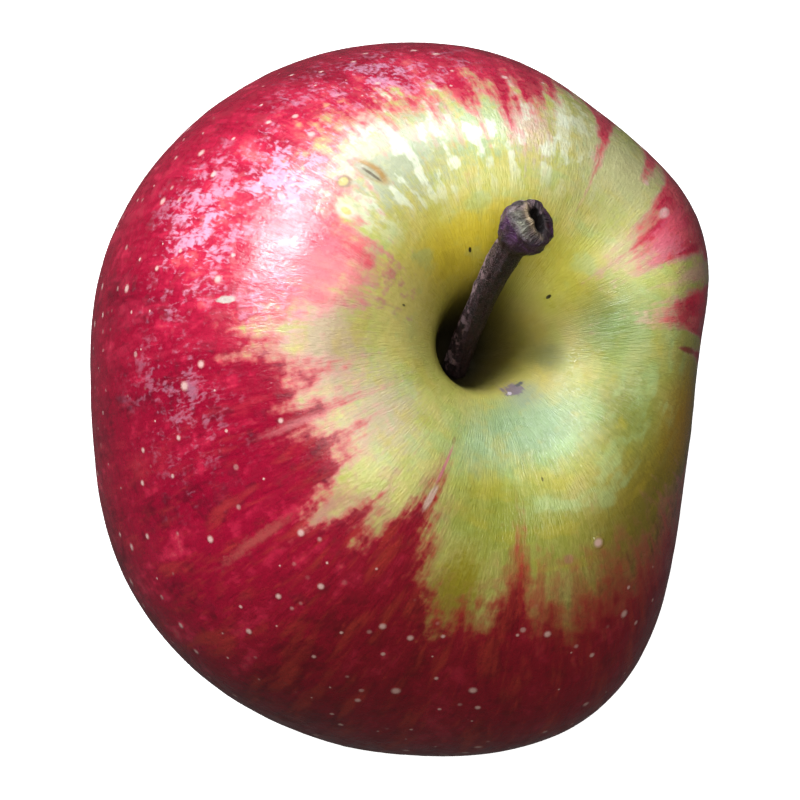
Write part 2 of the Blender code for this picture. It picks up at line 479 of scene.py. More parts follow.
class Skin:
    """The whole fruit's skin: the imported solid's form with fine ribs and dimples, made by Geometry Nodes."""

    def __init__(self, form: Form) -> None:
        """Keep the fruit's sizes."""
        self.form = form
        self.piece: bpy.types.Object | None = None
        self.surface: BVHTree | None = None

    @staticmethod
    def wave_group() -> bpy.types.NodeTree:
        """The share that one girth wave adds at a place."""
        net, source, result = new_tree(
            "girth_wave", Kind.GEOMETRY,
            {
                "Cosine": 0.0, "Sine": 0.0, "Azimuth": 0.0,
                "Count": 1.0, "Share": 0.0, "Top Extra": 0.0, "Crest": 0.0,
            },
            {"Swell": "NodeSocketFloat"},
        )
        take = source.outputs
        share = net.math("MULTIPLY_ADD", take["Top Extra"], take["Cosine"], take["Share"])
        share = net.times(share, net.math("POWER", take["Sine"], 2.0))
        turned = net.times(take["Count"], net.minus(take["Azimuth"], take["Crest"]))
        net.feed(result.inputs["Swell"], net.times(share, net.math("COSINE", turned)))
        return net.tree

    @staticmethod
    def bell(net: Net, reach: Value, width: Value, steepness: Value = 2.0) -> Socket:
        """A bell of 1 in the middle that falls away past its width."""
        ratio = net.math("DIVIDE", net.math("ABSOLUTE", reach), width)
        return net.math("EXPONENT", net.times(net.math("POWER", ratio, steepness), -1.0))

    def form_tree(self) -> bpy.types.NodeTree:
        """The tree that maps a ball onto the fruit's form and gives it ribs and dimples."""
        net, source, result = new_tree(
            "fruit_form", Kind.GEOMETRY,
            {"Geometry": "NodeSocketGeometry", **labelled(self.form), "Material": "NodeSocketMaterial"},
            {"Geometry": "NodeSocketGeometry"},
        )
        take = source.outputs
        ball = net.add("GeometryNodeMeshUVSphere", {
            "Segments": take["Meridians"], "Rings": take["Rows"], "Radius": 1.0,
        })
        x, y, z = net.separate(net.add("GeometryNodeInputPosition").outputs[0])
        even = net.math("ARCCOSINE", net.math("MINIMUM", net.math("MAXIMUM", z, -1.0), 1.0))
        wobble = net.times(net.math("SINE", net.times(even, 2.0)), -0.5)
        polar = net.math("MULTIPLY_ADD", wobble, take["Pole Crowding"], even)
        azimuth = net.math("ARCTAN2", y, x)
        cosine, sine = net.math("COSINE", polar), net.math("SINE", polar)
        wave_tree = self.wave_group()
        swells = []
        for wave in GIRTH_WAVES:
            swell = net.use(wave_tree, {
                "Cosine": cosine, "Sine": sine, "Azimuth": azimuth, "Count": float(wave.count),
                "Share": wave.share, "Top Extra": wave.top_extra, "Crest": math.radians(wave.azimuth),
            })
            swells.append(swell.outputs["Swell"])
        taper = net.math("MULTIPLY_ADD", take["Top Taper"], cosine, 1.0)
        radius = net.times(net.times(take["Girth Radius"], sine), taper)
        spread = net.times(radius, net.plus(net.total(swells), 1.0))
        east = net.times(spread, net.math("COSINE", azimuth))
        north = net.times(spread, net.math("SINE", azimuth))
        height = net.times(take["Core Half Height"], cosine)
        sink = net.times(take["Pole Sink"], net.math("POWER", cosine, 2.0))
        height = net.minus(height, sink)
        from_lobe = net.minus(azimuth, take["Lobe Azimuth"])
        lobe = net.math("COSINE", net.times(take["Lobes"], from_lobe))
        cavity = net.times(take["Cavity Depth"], self.bell(net, radius, take["Cavity Width"]))
        crown = self.bell(net, net.minus(radius, take["Crown Radius"]), take["Lobe Ring Width"])
        crown = net.times(net.times(take["Crown Height"], lobe), crown)
        throat = net.times(take["Throat Depth"], self.throat(net, take, east, north))
        above = net.minus(crown, net.plus(cavity, throat))
        basin = net.times(take["Basin Depth"], self.bell(net, radius, take["Basin Width"]))
        foot = self.bell(net, net.minus(radius, take["Foot Radius"]), take["Lobe Ring Width"])
        foot = net.times(net.times(take["Foot Height"], lobe), foot)
        below = net.minus(basin, foot)
        upper = net.math("GREATER_THAN", cosine, 0.0)
        height = net.plus(height, net.between(upper, below, above))
        core = net.combine(take["Core X"], take["Core Y"], take["Girth Level"])
        place = net.vector("ADD", net.combine(east, north, height), core)
        shaped = net.add("GeometryNodeSetPosition", {"Geometry": ball.outputs[0], "Position": place})
        relief = self.relief(net, take, core)
        fine = net.add("GeometryNodeSetPosition", {"Geometry": shaped.outputs[0], "Offset": relief})
        flat_x, flat_y, flat_z = net.separate(net.add("GeometryNodeInputPosition").outputs[0])
        pressed = net.combine(flat_x, flat_y, net.math("MAXIMUM", flat_z, 0.0))
        stood = net.add("GeometryNodeSetPosition", {"Geometry": fine.outputs[0], "Position": pressed})
        net.hand_out(stood.outputs[0], take["Material"], result)
        return net.tree

    def throat(self, net: Net, take: object, east: Socket, north: Socket) -> Socket:
        """The share of the throat's depth at a place: it is steep on one side and gentle on the other."""
        east = net.minus(east, take["Throat X"])
        north = net.minus(north, take["Throat Y"])
        heading = net.minus(net.math("ARCTAN2", north, east), take["Gentle Azimuth"])
        gentle = net.math("POWER", net.math("MULTIPLY_ADD", net.math("COSINE", heading), 0.5, 0.5), 2.0)
        width = net.between(gentle, take["Steep Width"], take["Gentle Width"])
        power = net.between(gentle, take["Steep Power"], take["Gentle Power"])
        return self.bell(net, net.vector("LENGTH", net.combine(east, north, 0.0)), width, power)

    @staticmethod
    def relief(net: Net, take: object, core: Socket) -> Socket:
        """The small move along the normal that gives soft ribs down the meridians, and dimples."""
        place = net.add("GeometryNodeInputPosition").outputs[0]
        bearing = net.use(bearings_group(Kind.GEOMETRY), {"Place": place, "Core": core})
        rib = net.use(streaks_group(Kind.GEOMETRY), {
            "Around": bearing.outputs["Around"], "Bearing": bearing.outputs["Bearing"],
            "Across": 5.0, "Along": 1.2, "Wander": 0.3, "Seed": take["Seed"],
        })
        ribs = net.centred(rib.outputs[0], take["Rib Relief"])
        dimples = net.centred(net.noise(place, 260.0, 2.0, 0.5, take["Seed"]), take["Dimple Relief"])
        fade = net.ramp(bearing.outputs["Bearing"], math.radians(9.0), math.radians(24.0))
        step = net.times(net.plus(ribs, dimples), fade)
        return net.vector("SCALE", net.add("GeometryNodeInputNormal").outputs[0], scale=step)

    def build(self, material: bpy.types.Material) -> bpy.types.Object:
        """Make the skin, and keep its surface for what is set against it.

        Args:
            material: The skin's finish.

        Returns:
            The skin.
        """
        self.piece = grow("apple_skin", self.form_tree(), {**labelled(self.form), "Material": material})
        shell = bmesh.new()
        shell.from_mesh(self.piece.data)
        self.surface = BVHTree.FromBMesh(shell)
        shell.free()
        return self.piece

    def height_at(self, x: float, y: float, from_below: bool = False) -> float:
        """Height of the skin at a place, met from above or from below.

        Args:
            x: Place along X.
            y: Place along Y.
            from_below: Whether the base is asked for instead of the top.

        Returns:
            The height, in metres.
        """
        start = -1.0 if from_below else 1.0
        hit, _, _, _ = self.surface.ray_cast(Vector((x, y, start)), Vector((0.0, 0.0, -start)))
        return hit.z


# Colours of the skin

@dataclass(frozen=True)
class RingPoint:
    """A value that the skin takes at an azimuth in degrees."""

    azimuth: float
    value: float


@dataclass(frozen=True)
class Tongue:
    """A place where the edge of the red leaps to another bearing, up towards the stem or down from it."""

    azimuth: float
    tip: float
    half_width: float


def ring(*pairs: tuple[float, float]) -> tuple[RingPoint, ...]:
    """Make a ring of values from pairs of azimuth and value, from -180 to 180 degrees."""
    return tuple(RingPoint(azimuth, value) for azimuth, value in pairs)


BLUSH_EDGE = ring(
    (-180, 50), (-166, 50), (-156, 46), (-149, 43), (-141, 34), (-130, 36), (-121, 39),
    (-112, 45), (-104, 42), (-95, 41), (-88, 41), (-77, 40), (-70, 45), (-60, 43),
    (-46, 42), (-40, 47), (-34, 50), (-28, 46), (-14, 45), (0, 46), (15, 47),
    (30, 50), (45, 56), (60, 58), (69, 54), (72, 36), (77, 32), (82, 35),
    (86, 60), (91, 50), (94, 36), (100, 33), (107, 36), (112, 58), (130, 62),
    (146, 50), (158, 47), (170, 49), (180, 50),
)

TONGUES = (
    Tongue(-137, 30, 5), Tongue(-124, 34, 3), Tongue(-115, 50, 2), Tongue(-108.5, 47, 1.6),
    Tongue(-103, 37, 4), Tongue(-97, 38, 2.5), Tongue(-92, 31, 1.7), Tongue(-84, 33, 2.4),
    Tongue(-79, 35, 3), Tongue(-70.5, 51, 1.8), Tongue(-65, 39, 3), Tongue(-53, 31, 6),
    Tongue(-47, 38, 2.4), Tongue(-37, 54, 2.6), Tongue(-29, 50, 2), Tongue(-21, 40, 4),
    Tongue(-9, 50, 2), Tongue(65.5, 33, 2.2), Tongue(75, 30, 1.6), Tongue(80, 31, 1.4),
    Tongue(88, 66, 2), Tongue(96, 32, 1.4), Tongue(104, 31, 1.8), Tongue(109, 36, 2),
    Tongue(115.4, 36, 1.7), Tongue(122, 68, 4), Tongue(129.4, 34, 2.8), Tongue(137.5, 66, 5),
    Tongue(149, 44, 3), Tongue(155, 40, 3.4), Tongue(160, 54, 1.6), Tongue(165, 44, 2.5),
    Tongue(169.5, 53, 1.4), Tongue(174, 45, 3),
)

RED_DEPTH = ring(
    (-180, 48), (-165, 46), (-150, 44), (-136, 32), (-122, 54), (-108, 84), (-80, 92),
    (-66, 86), (-50, 98), (-25, 90), (0, 86), (45, 75), (66, 50), (76, 46),
    (86, 36), (97, 26), (106, 40), (115, 34), (130, 30), (150, 50), (165, 44),
    (180, 46),
)

STREAK_REACH = ring(
    (-180, 26), (-150, 15), (-141, 10), (-125, 18), (-105, 14), (-60, 12), (-40, 16),
    (0, 16), (50, 18), (66, 9), (82, 9), (100, 12), (116, 18), (136, 34),
    (150, 28), (180, 26),
)

MOTTLE_REACH = ring((-180, 14), (-150, 22), (-120, 18), (-100, 12), (0, 10), (60, 10), (120, 10), (180, 14))

EDGE_SOFTNESS = ring(
    (-180, 5), (-150, 7), (-134, 8), (-115, 6), (-100, 4.2), (-60, 3.4), (-40, 4.5), (-10, 8), (30, 9.5),
    (55, 8), (66, 4.5), (84, 4.5), (100, 5), (120, 5), (150, 5), (180, 5),
)

HALO_STRENGTH = ring(
    (-180, 0.5), (-150, 0.75), (-120, 0.9), (-100, 0.8), (-60, 0.65), (-40, 0.4), (0, 0.5), (40, 0.5),
    (66, 0.6), (90, 0.85), (120, 0.6), (150, 0.6), (180, 0.5),
)


def along_ring(points: tuple[RingPoint, ...], azimuth: float) -> float:
    """Read a value between the points of a ring.

    Args:
        points: Points in the order of their azimuth, from -180 to 180.
        azimuth: Where the value is read, in degrees.

    Returns:
        The value, eased between its two neighbours.
    """
    for start, end in zip(points, points[1:]):
        if azimuth <= end.azimuth:
            share = (azimuth - start.azimuth) / (end.azimuth - start.azimuth)
            return mix_values(start.value, end.value, smooth_step(share))
    return points[-1].value


def blush_edge(azimuth: float) -> float:
    """Bearing at which the red begins, with its tongues, at an azimuth in degrees."""
    edge = along_ring(BLUSH_EDGE, azimuth)
    furthest = edge
    for tongue in TONGUES:
        off = abs((azimuth - tongue.azimuth + 180) % 360 - 180) / tongue.half_width
        if off < 1:
            tip = mix_values(tongue.tip, edge, off**1.4)
            furthest = max(furthest, tip, key=lambda bearing: abs(bearing - edge))
    return furthest


def ring_curve(net: Net, turn: Socket, value_at: Callable[[float], float]) -> Socket:
    """Read a value by the turn round the core from a curve that a function fills.

    Args:
        net: The net that the nodes are added to.
        turn: The turn, from 0 to 1.
        value_at: Gives the value at an azimuth in degrees.

    Returns:
        The value.
    """
    steps = 180
    values = [value_at(step / steps * 360 - 180) for step in range(steps + 1)]
    top = max(values)
    curve = net.add("ShaderNodeFloatCurve", {"Value": turn})
    line = curve.mapping.curves[0]
    line.points[0].location = (0.0, values[0] / top)
    line.points[1].location = (1.0, values[-1] / top)
    for step in range(1, steps):
        line.points.new(step / steps, values[step] / top)
    for point in line.points:
        point.handle_type = "VECTOR"
    curve.mapping.update()
    return net.times(curve.outputs[0], top)


@dataclass(frozen=True)
class Patch:
    """A patch of colour on the skin, placed by azimuth and bearing, in degrees.

    Its ends fade over the share soft, streaks fray it by the share ragged, and slant leans it
    off the meridian, as degrees of bearing for each degree of azimuth.
    """

    azimuth: float
    bearing: float
    half_width: float
    half_height: float
    colour: Colour
    strength: float = 1.0
    soft: float = 0.6
    ragged: float = 0.5
    slant: float = 0.0


# Patches of the ground's own colour, with some patches of painted shade among them.
GROUND_AND_SHADE_PATCHES = (
    Patch(-178, 22, 78, 10, paint(232, 208, 60), 0.95, 0.8, 0.3),
    Patch(-128, 23, 36, 9, paint(246, 230, 140), 0.85, 0.9, 0.3),
    Patch(-112, 36, 28, 9, paint(192, 164, 140), 0.85, 0.9, 0.9),
    Patch(-85, 30, 26, 9, paint(198, 178, 158), 0.75, 0.9, 0.8),
    Patch(110, 22, 42, 9, paint(200, 190, 66), 0.8, 0.9, 0.3),
    # Painted shade: darker olive over the lower right side, away from the light.
    Patch(25, 39, 64, 20, paint(140, 124, 40), 0.95, 0.8, 0.2),
    # Painted shade: darker olive on the cavity's right slope.
    Patch(38, 28, 30, 9, paint(120, 130, 58), 0.85, 0.9, 0.2),
    Patch(46, 41, 24, 10, paint(186, 142, 50), 0.85, 0.9, 0.2),
    Patch(-25, 34, 34, 12, paint(144, 150, 54), 0.9, 0.8, 0.35),
    Patch(-8, 20, 64, 9, paint(126, 158, 112), 0.9, 0.75, 0.2),
    Patch(-38, 24, 22, 6, paint(156, 184, 140), 0.7, 0.8, 0.3),
    Patch(75, 25, 36, 9, paint(126, 150, 80), 0.85, 0.9, 0.2),
    # Painted shadow: dark olive right of the stem, where its shadow falls in the cavity.
    Patch(58, 14, 26, 4.5, paint(104, 112, 42), 0.85, 0.9, 0.2),
    Patch(5, 14.5, 30, 4, paint(132, 150, 128), 0.7, 0.9, 0.3),
    Patch(104, 30, 15, 5, paint(220, 200, 164), 0.6, 0.9, 0.6),
    Patch(124, 42, 32, 16, paint(202, 198, 146), 0.85, 0.8, 0.6),
    Patch(-170, 40, 34, 11, paint(186, 192, 166), 0.9, 0.8, 1.1),
    Patch(160, 40, 26, 9, paint(182, 200, 150), 0.8, 0.8, 1.6),
    Patch(151, 40, 9, 9, paint(224, 184, 168), 0.7, 0.8, 1.4),
    Patch(141, 44, 3.4, 12, paint(238, 242, 216), 0.85, 0.7, 0.8),
    Patch(-36, 46, 10, 11, paint(150, 134, 16), 0.9, 0.8, 0.5),
    # Painted shade: dark brown low on the side away from the light.
    Patch(15, 53, 44, 12, paint(96, 58, 28), 0.9, 0.8, 0.9),
)

MARKS = (
    Patch(-131, 40, 17, 14, paint(238, 122, 136), 0.7, 0.9, 1.2),
    Patch(-53, 28.5, 0.9, 4.6, paint(214, 130, 140), 0.9, 0.7, 0.3),
    Patch(-52.4, 33.5, 1.4, 2.6, paint(214, 184, 168), 0.8, 0.5, 0.4),
    Patch(-53.6, 24.4, 1.3, 0.8, paint(150, 140, 84), 0.7, 0.5, 0.2),
    Patch(-70.5, 44, 2.4, 8, paint(196, 128, 124), 0.7, 0.9, 1.0),
    Patch(-91, 43, 1.6, 9, paint(214, 120, 124), 0.6, 0.9, 1.0),
    Patch(87.5, 44, 3.4, 16, paint(226, 176, 160), 0.8, 0.8, 0.9),
    Patch(98, 36, 7, 6, paint(232, 130, 150), 0.7, 0.8, 1.6),
    Patch(106, 40.5, 1.7, 2.2, paint(240, 214, 206), 0.95, 0.6, 0.2),
    Patch(66, 36.3, 1.4, 4, paint(140, 44, 30), 0.8, 0.6, 0.3),
    Patch(-74, 58, 1.6, 11, paint(190, 92, 84), 0.55, 0.9, 1.6),
    Patch(-161.5, 39.6, 2.9, 4.0, paint(178, 138, 78), 0.95, 0.5, 0.3, 0.27),
    Patch(-160.7, 39.8, 1.8, 3.2, paint(176, 174, 146), 0.95, 0.5, 0.4, 0.27),
    Patch(-160.9, 39.0, 0.6, 2.4, paint(92, 78, 58), 0.8, 0.6, 0.5, 0.27),
    Patch(-154.3, 41.2, 2.6, 1.6, paint(146, 112, 84), 0.85, 0.5, 0.3),
    Patch(-154.3, 41.3, 1.7, 0.9, paint(206, 192, 112), 0.9, 0.5, 0.3),
    Patch(-147.8, 37.8, 2.6, 2.4, paint(244, 230, 206), 0.6, 0.5, 0.3),
    Patch(-147.8, 37.8, 1.3, 1.2, paint(218, 198, 104), 0.8, 0.5, 0.2),
    Patch(-120.2, 52.0, 0.9, 2.1, paint(206, 200, 190), 0.85, 0.4, 0.8),
    Patch(179.0, 21.7, 1.1, 0.45, paint(24, 18, 10), 0.95, 0.25, 0.3),
    Patch(110.5, 18.0, 1.6, 0.45, paint(24, 18, 12), 0.95, 0.25, 0.3),
    Patch(-128.5, 23.8, 0.6, 0.3, paint(60, 44, 20), 0.8, 0.3, 0.2),
    Patch(-11.2, 27.9, 0.5, 0.4, paint(90, 84, 40), 0.8, 0.3, 0.2),
    Patch(2.0, 12.6, 18, 1.4, paint(104, 84, 106), 0.85, 0.5, 1.6),
    Patch(12.0, 12.2, 7, 0.5, paint(58, 62, 66), 0.8, 0.5, 1.0),
    Patch(-6.0, 13.0, 3, 0.4, paint(204, 190, 206), 0.8, 0.4, 1.2),
    Patch(-8.5, 40.0, 1.6, 1.0, paint(176, 116, 100), 0.6, 0.5, 0.4),
    Patch(80, 42, 6, 9, paint(250, 44, 84), 0.7, 0.9, 1.2),
    Patch(101, 41, 8, 9, paint(255, 96, 128), 0.5, 0.9, 1.4),
)

# Pale lavender flecks: partly the skin's waxy coat, partly painted highlight.
BLOOM_AND_HIGHLIGHT = paint(240, 184, 216)

# Where the flecks lie, on the side towards the light, where they also stand for a painted highlight.
BLOOM_AND_HIGHLIGHT_PATCHES = (
    Patch(-150, 52, 24, 13, BLOOM_AND_HIGHLIGHT, 1.0, 0.95, 0.7),
    Patch(-134, 60, 26, 16, BLOOM_AND_HIGHLIGHT, 0.95, 0.95, 0.7),
    Patch(-104, 62, 26, 18, BLOOM_AND_HIGHLIGHT, 0.36, 0.95, 0.7),
    Patch(178, 60, 30, 18, BLOOM_AND_HIGHLIGHT, 0.75, 0.95, 0.7),
    Patch(-120, 45, 16, 10, BLOOM_AND_HIGHLIGHT, 0.6, 0.95, 0.7),
)


@cache
def patch_group() -> bpy.types.NodeTree:
    """A group that masks one patch of the skin."""
    net, source, result = new_tree(
        "patch", Kind.SHADER,
        {
            "Azimuth": 0.0, "Bearing": 0.0, "Fray": 0.0, "Middle": 0.0, "Centre": 0.5,
            "Across": 10.0, "Along": 10.0, "Strength": 1.0, "Start": 0.5, "Ragged": 0.5, "Slant": 0.0,
        },
        {"Mask": "NodeSocketFloat"},
    )
    take = source.outputs
    off = net.math("WRAP", net.minus(take["Azimuth"], take["Middle"]), math.pi, -math.pi)
    down = net.minus(take["Bearing"], take["Centre"])
    off = net.math("MULTIPLY_ADD", down, take["Slant"], off)
    across = net.times(off, take["Across"])
    along = net.times(down, take["Along"])
    reach = net.vector("LENGTH", net.combine(across, along, 0.0))
    reach = net.math("MULTIPLY_ADD", take["Fray"], take["Ragged"], reach)
    net.feed(result.inputs["Mask"], net.ramp(reach, 1.0, take["Start"], 0.0, take["Strength"]))
    return net.tree


@cache
def grain_group() -> bpy.types.NodeTree:
    """A group of mottle and finer fibre for any dry or waxy surface."""
    net, source, result = new_tree(
        "grain", Kind.SHADER,
        {"Place": (0.0, 0.0, 0.0), "Scale": 100.0, "Seed": 0.0},
        {"Mottle": "NodeSocketFloat", "Fine": "NodeSocketFloat"},
    )
    take = source.outputs
    fine_scale = net.times(take["Scale"], 4.7)
    net.feed(result.inputs["Mottle"], net.noise(take["Place"], take["Scale"], 3.0, 0.55, take["Seed"]))
    net.feed(result.inputs["Fine"], net.noise(take["Place"], fine_scale, 2.0, 0.6, take["Seed"]))
    return net.tree


@dataclass(frozen=True)
class StreakSet:
    """One set of streaks: how many fit a radian, across and along the meridians, and how far they wander."""

    across: float
    along: float
    wander: float
    offset: float


BROAD = StreakSet(across=7.0, along=2.6, wander=0.8, offset=0.0)
MEDIUM = StreakSet(across=18.0, along=5.0, wander=1.2, offset=3.0)
FINE = StreakSet(across=46.0, along=12.0, wander=1.6, offset=6.0)
HAIR = StreakSet(across=120.0, along=26.0, wander=2.0, offset=9.0)
DASHES = StreakSet(across=20.0, along=8.0, wander=1.2, offset=12.0)
BANDS = StreakSet(across=3.0, along=15.0, wander=0.8, offset=15.0)
LINES = StreakSet(across=12.0, along=9.0, wander=1.0, offset=18.0)
FLECKS = StreakSet(across=80.0, along=44.0, wander=2.5, offset=21.0)


@dataclass(frozen=True)
class Stain:
    """One soft noise on the skin: how many of its spots fit a metre, and how rough they are."""

    scale: float
    detail: float
    rough: float
    offset: float


BLOTS = Stain(scale=620.0, detail=2.0, rough=0.6, offset=4.0)
CLOUDS = Stain(scale=300.0, detail=3.0, rough=0.6, offset=7.0)
CLUSTERS = Stain(scale=300.0, detail=3.0, rough=0.65, offset=2.0)

GRAIN_SCALE = 330.0
FRECKLE_SCALE = 520.0
# The side of the brown tint on the red and the halo: partly real colour, partly painted shade on the lower
# side away from the light.
RUST_AND_SHADE_SIDE = (0.94, -0.34, 0.0)
# The side towards the light, where pale crest streaks are partly real and partly painted highlight.
STREAK_HIGHLIGHT_SIDE = (-0.99, 0.1, 0.0)


@dataclass(frozen=True)
class SkinFinish:
    """Colours and gloss of the fruit's waxy skin."""

    crimson: Colour = paint(158, 6, 46)
    maroon: Colour = paint(104, 2, 30)
    rose: Colour = paint(204, 36, 72)
    salmon: Colour = paint(230, 98, 106)
    # A browner red for the side away from the light: partly real colour, partly painted shade.
    rust: Colour = paint(128, 30, 26)
    ember: Colour = paint(184, 60, 48)
    lime: Colour = paint(190, 196, 104)
    cream: Colour = paint(236, 240, 214)
    ochre: Colour = paint(172, 154, 46)
    straw: Colour = paint(214, 202, 124)
    mint: Colour = paint(170, 202, 140)
    gold: Colour = paint(196, 172, 50)
    # Painted shade and painted shadow for the throat.
    throat_shade: Colour = paint(106, 94, 24)
    throat_dark: Colour = paint(22, 16, 8)
    blushed: Colour = paint(212, 158, 148)
    # A darker tan for the halo on that side: partly real colour, partly painted shade.
    tanned: Colour = paint(160, 112, 66)
    pore: Colour = paint(232, 190, 182)
    roughness: float = 0.27
    least_roughness: float = 0.12
    bump: float = 0.00008
    seed: float = 11.0

    def material(self, colours: bpy.types.NodeTree) -> bpy.types.Material:
        """The skin's material.

        Args:
            colours: The group that gives the skin's colour.

        Returns:
            The material.
        """
        material, net, shader = new_material("apple_skin", 0.0, 0.2)
        skin = net.use(colours, {"Place": net.add("ShaderNodeTexCoord").outputs["Object"]})
        net.feed(shader.inputs["Base Color"], skin.outputs["Colour"])
        net.feed(shader.inputs["Roughness"], skin.outputs["Rough"])
        add_bump(net, shader, skin.outputs["Height"], self.bump, 1.0)
        return material

    def pore_material(self, colours: bpy.types.NodeTree) -> bpy.types.Material:
        """The pores' material: pale and corky in the middle, the skin's own colour at the rim.

        Args:
            colours: The group that gives the skin's colour.

        Returns:
            The material.
        """
        material, net, shader = new_material("apple_pores", 0.2, 0.35)
        skin = net.use(colours, {"Place": net.add("ShaderNodeTexCoord").outputs["Object"]})
        middle = net.add("ShaderNodeAttribute", attribute_name="middle").outputs["Fac"]
        rim = net.math("SQRT", net.minus(1.0, net.times(middle, middle)))
        share = net.ramp(rim, 0.9, 0.3, 0.0, 0.85)
        net.feed(shader.inputs["Base Color"], net.blend(share, skin.outputs["Colour"], self.pore))
        net.feed(shader.inputs["Roughness"], net.math("MULTIPLY_ADD", share, 0.3, skin.outputs["Rough"]))
        return material


class SkinPainter:
    """Draws the skin's colour, its gloss and its small bumps at any place, in one shader group."""

    def __init__(self, form: Form, finish: SkinFinish) -> None:
        """Start the group, with the noises that its layers share.

        Args:
            form: The fruit's sizes.
            finish: The skin's colours.
        """
        self.form, self.finish = form, finish
        self.net, source, self.result = new_tree(
            "skin_colour", Kind.SHADER,
            {"Place": (0.0, 0.0, 0.0), "Seed": finish.seed},
            {"Colour": "NodeSocketColor", "Rough": "NodeSocketFloat", "Height": "NodeSocketFloat"},
        )
        net = self.net
        self.place, self.seed = source.outputs["Place"], source.outputs["Seed"]
        bearings = net.use(bearings_group(Kind.SHADER), {"Place": self.place, "Core": form.core}).outputs
        self.around, self.turn, self.bearing = bearings["Around"], bearings["Turn"], bearings["Bearing"]
        self.degrees = net.times(self.bearing, 180 / math.pi)
        self.east, north, _ = net.separate(self.around)
        self.azimuth = net.math("ARCTAN2", north, self.east)
        grain = net.use(grain_group(), {"Place": self.place, "Scale": GRAIN_SCALE, "Seed": self.seed})
        self.mottle, self.speck = grain.outputs["Mottle"], grain.outputs["Fine"]
        self.blots, self.clouds = self.stain(BLOTS), self.stain(CLOUDS)
        self.medium, self.fine = self.streak(MEDIUM), self.streak(FINE)
        self.dashes, self.flecks = self.streak(DASHES), self.streak(FLECKS)
        fray = net.plus(net.times(self.fine, 1.2), net.times(self.speck, 0.8))
        self.fray = net.minus(fray, 1.0)
        self.rusty = net.vector("DOT_PRODUCT", self.around, RUST_AND_SHADE_SIDE)
        self.rust_share = net.ramp(self.rusty, 0.5, 1.0)

    def streak(self, kind: StreakSet) -> Socket:
        """One set of streaks down the meridians."""
        node = self.net.use(streaks_group(Kind.SHADER), {
            "Around": self.around, "Bearing": self.bearing, "Across": kind.across, "Along": kind.along,
            "Wander": kind.wander, "Seed": self.net.plus(self.seed, kind.offset),
        })
        return node.outputs[0]

    def stain(self, kind: Stain) -> Socket:
        """One soft noise without a direction."""
        seed = self.net.plus(self.seed, kind.offset)
        return self.net.noise(self.place, kind.scale, kind.detail, kind.rough, seed)

    def read(self, points: tuple[RingPoint, ...]) -> Socket:
        """The value of a ring at this place."""
        return ring_curve(self.net, self.turn, lambda azimuth: along_ring(points, azimuth))

    def mask_of(self, patch: Patch) -> Socket:
        """Where one patch lies."""
        mask = self.net.use(patch_group(), {
            "Azimuth": self.azimuth, "Bearing": self.bearing, "Fray": self.fray,
            "Middle": math.radians(patch.azimuth), "Centre": math.radians(patch.bearing),
            "Across": 1 / math.radians(patch.half_width), "Along": 1 / math.radians(patch.half_height),
            "Strength": patch.strength, "Start": 1 - patch.soft,
            "Ragged": patch.ragged, "Slant": -patch.slant,
        })
        return mask.outputs["Mask"]

    def lay(self, patches: tuple[Patch, ...], colour: Socket) -> Socket:
        """Lay patches over a colour, one after the other."""
        for patch in patches:
            colour = self.net.blend(self.mask_of(patch), colour, patch.colour)
        return colour

    def blush(self) -> tuple[Socket, Socket, Socket]:
        """The red's torn edge.

        Returns:
            The share of red at a place, the share of the warm halo outside its edge, and the share
            of the paler fringe inside it.
        """
        net = self.net
        streaky = net.total([
            net.centred(self.medium, 1.0), net.centred(self.dashes, 0.7), net.centred(self.fine, 0.4),
        ])
        mottled = net.plus(net.centred(self.blots, 1.3), net.centred(self.speck, 0.5))
        torn = net.times(streaky, self.read(STREAK_REACH))
        torn = net.plus(torn, net.times(mottled, self.read(MOTTLE_REACH)))
        edge = ring_curve(net, self.turn, blush_edge)
        past = net.plus(net.minus(self.degrees, edge), torn)
        soft = self.read(EDGE_SOFTNESS)
        red_share = net.ramp(past, net.times(soft, -1.0), soft)
        warming = net.total([
            past, net.centred(self.blots, 9.0),
            net.centred(self.clouds, 14.0), net.centred(self.dashes, 16.0),
        ])
        halo = net.times(net.ramp(warming, -10.0, 1.0), self.read(HALO_STRENGTH))
        inner = net.ramp(past, 0.0, net.math("MULTIPLY_ADD", soft, 1.2, 1.0))
        return red_share, halo, net.minus(1.0, inner)

    def red(self, fringe: Socket) -> Socket:
        """The colour of the blush.

        Args:
            fringe: The share of the paler fringe along its edge.

        Returns:
            The colour.
        """
        net, finish = self.net, self.finish
        depth = self.read(RED_DEPTH)
        deeper_below = net.ramp(self.degrees, 54.0, 76.0, 0.0, 0.5)
        sunk = net.total([
            net.math("DIVIDE", depth, 100.0),
            net.centred(self.medium, 1.5), net.centred(self.streak(BROAD), 1.3),
            net.centred(self.blots, 1.3), net.centred(self.clouds, 1.0),
            net.times(deeper_below, net.ramp(depth, 85.0, 50.0)),
        ])
        red = net.blend(net.ramp(sunk, 0.05, 0.45), finish.salmon, finish.rose)
        red = net.blend(net.ramp(sunk, 0.35, 0.8), red, finish.crimson)
        red = net.blend(net.ramp(sunk, 0.85, 1.3, 0.0, 0.9), red, finish.maroon)
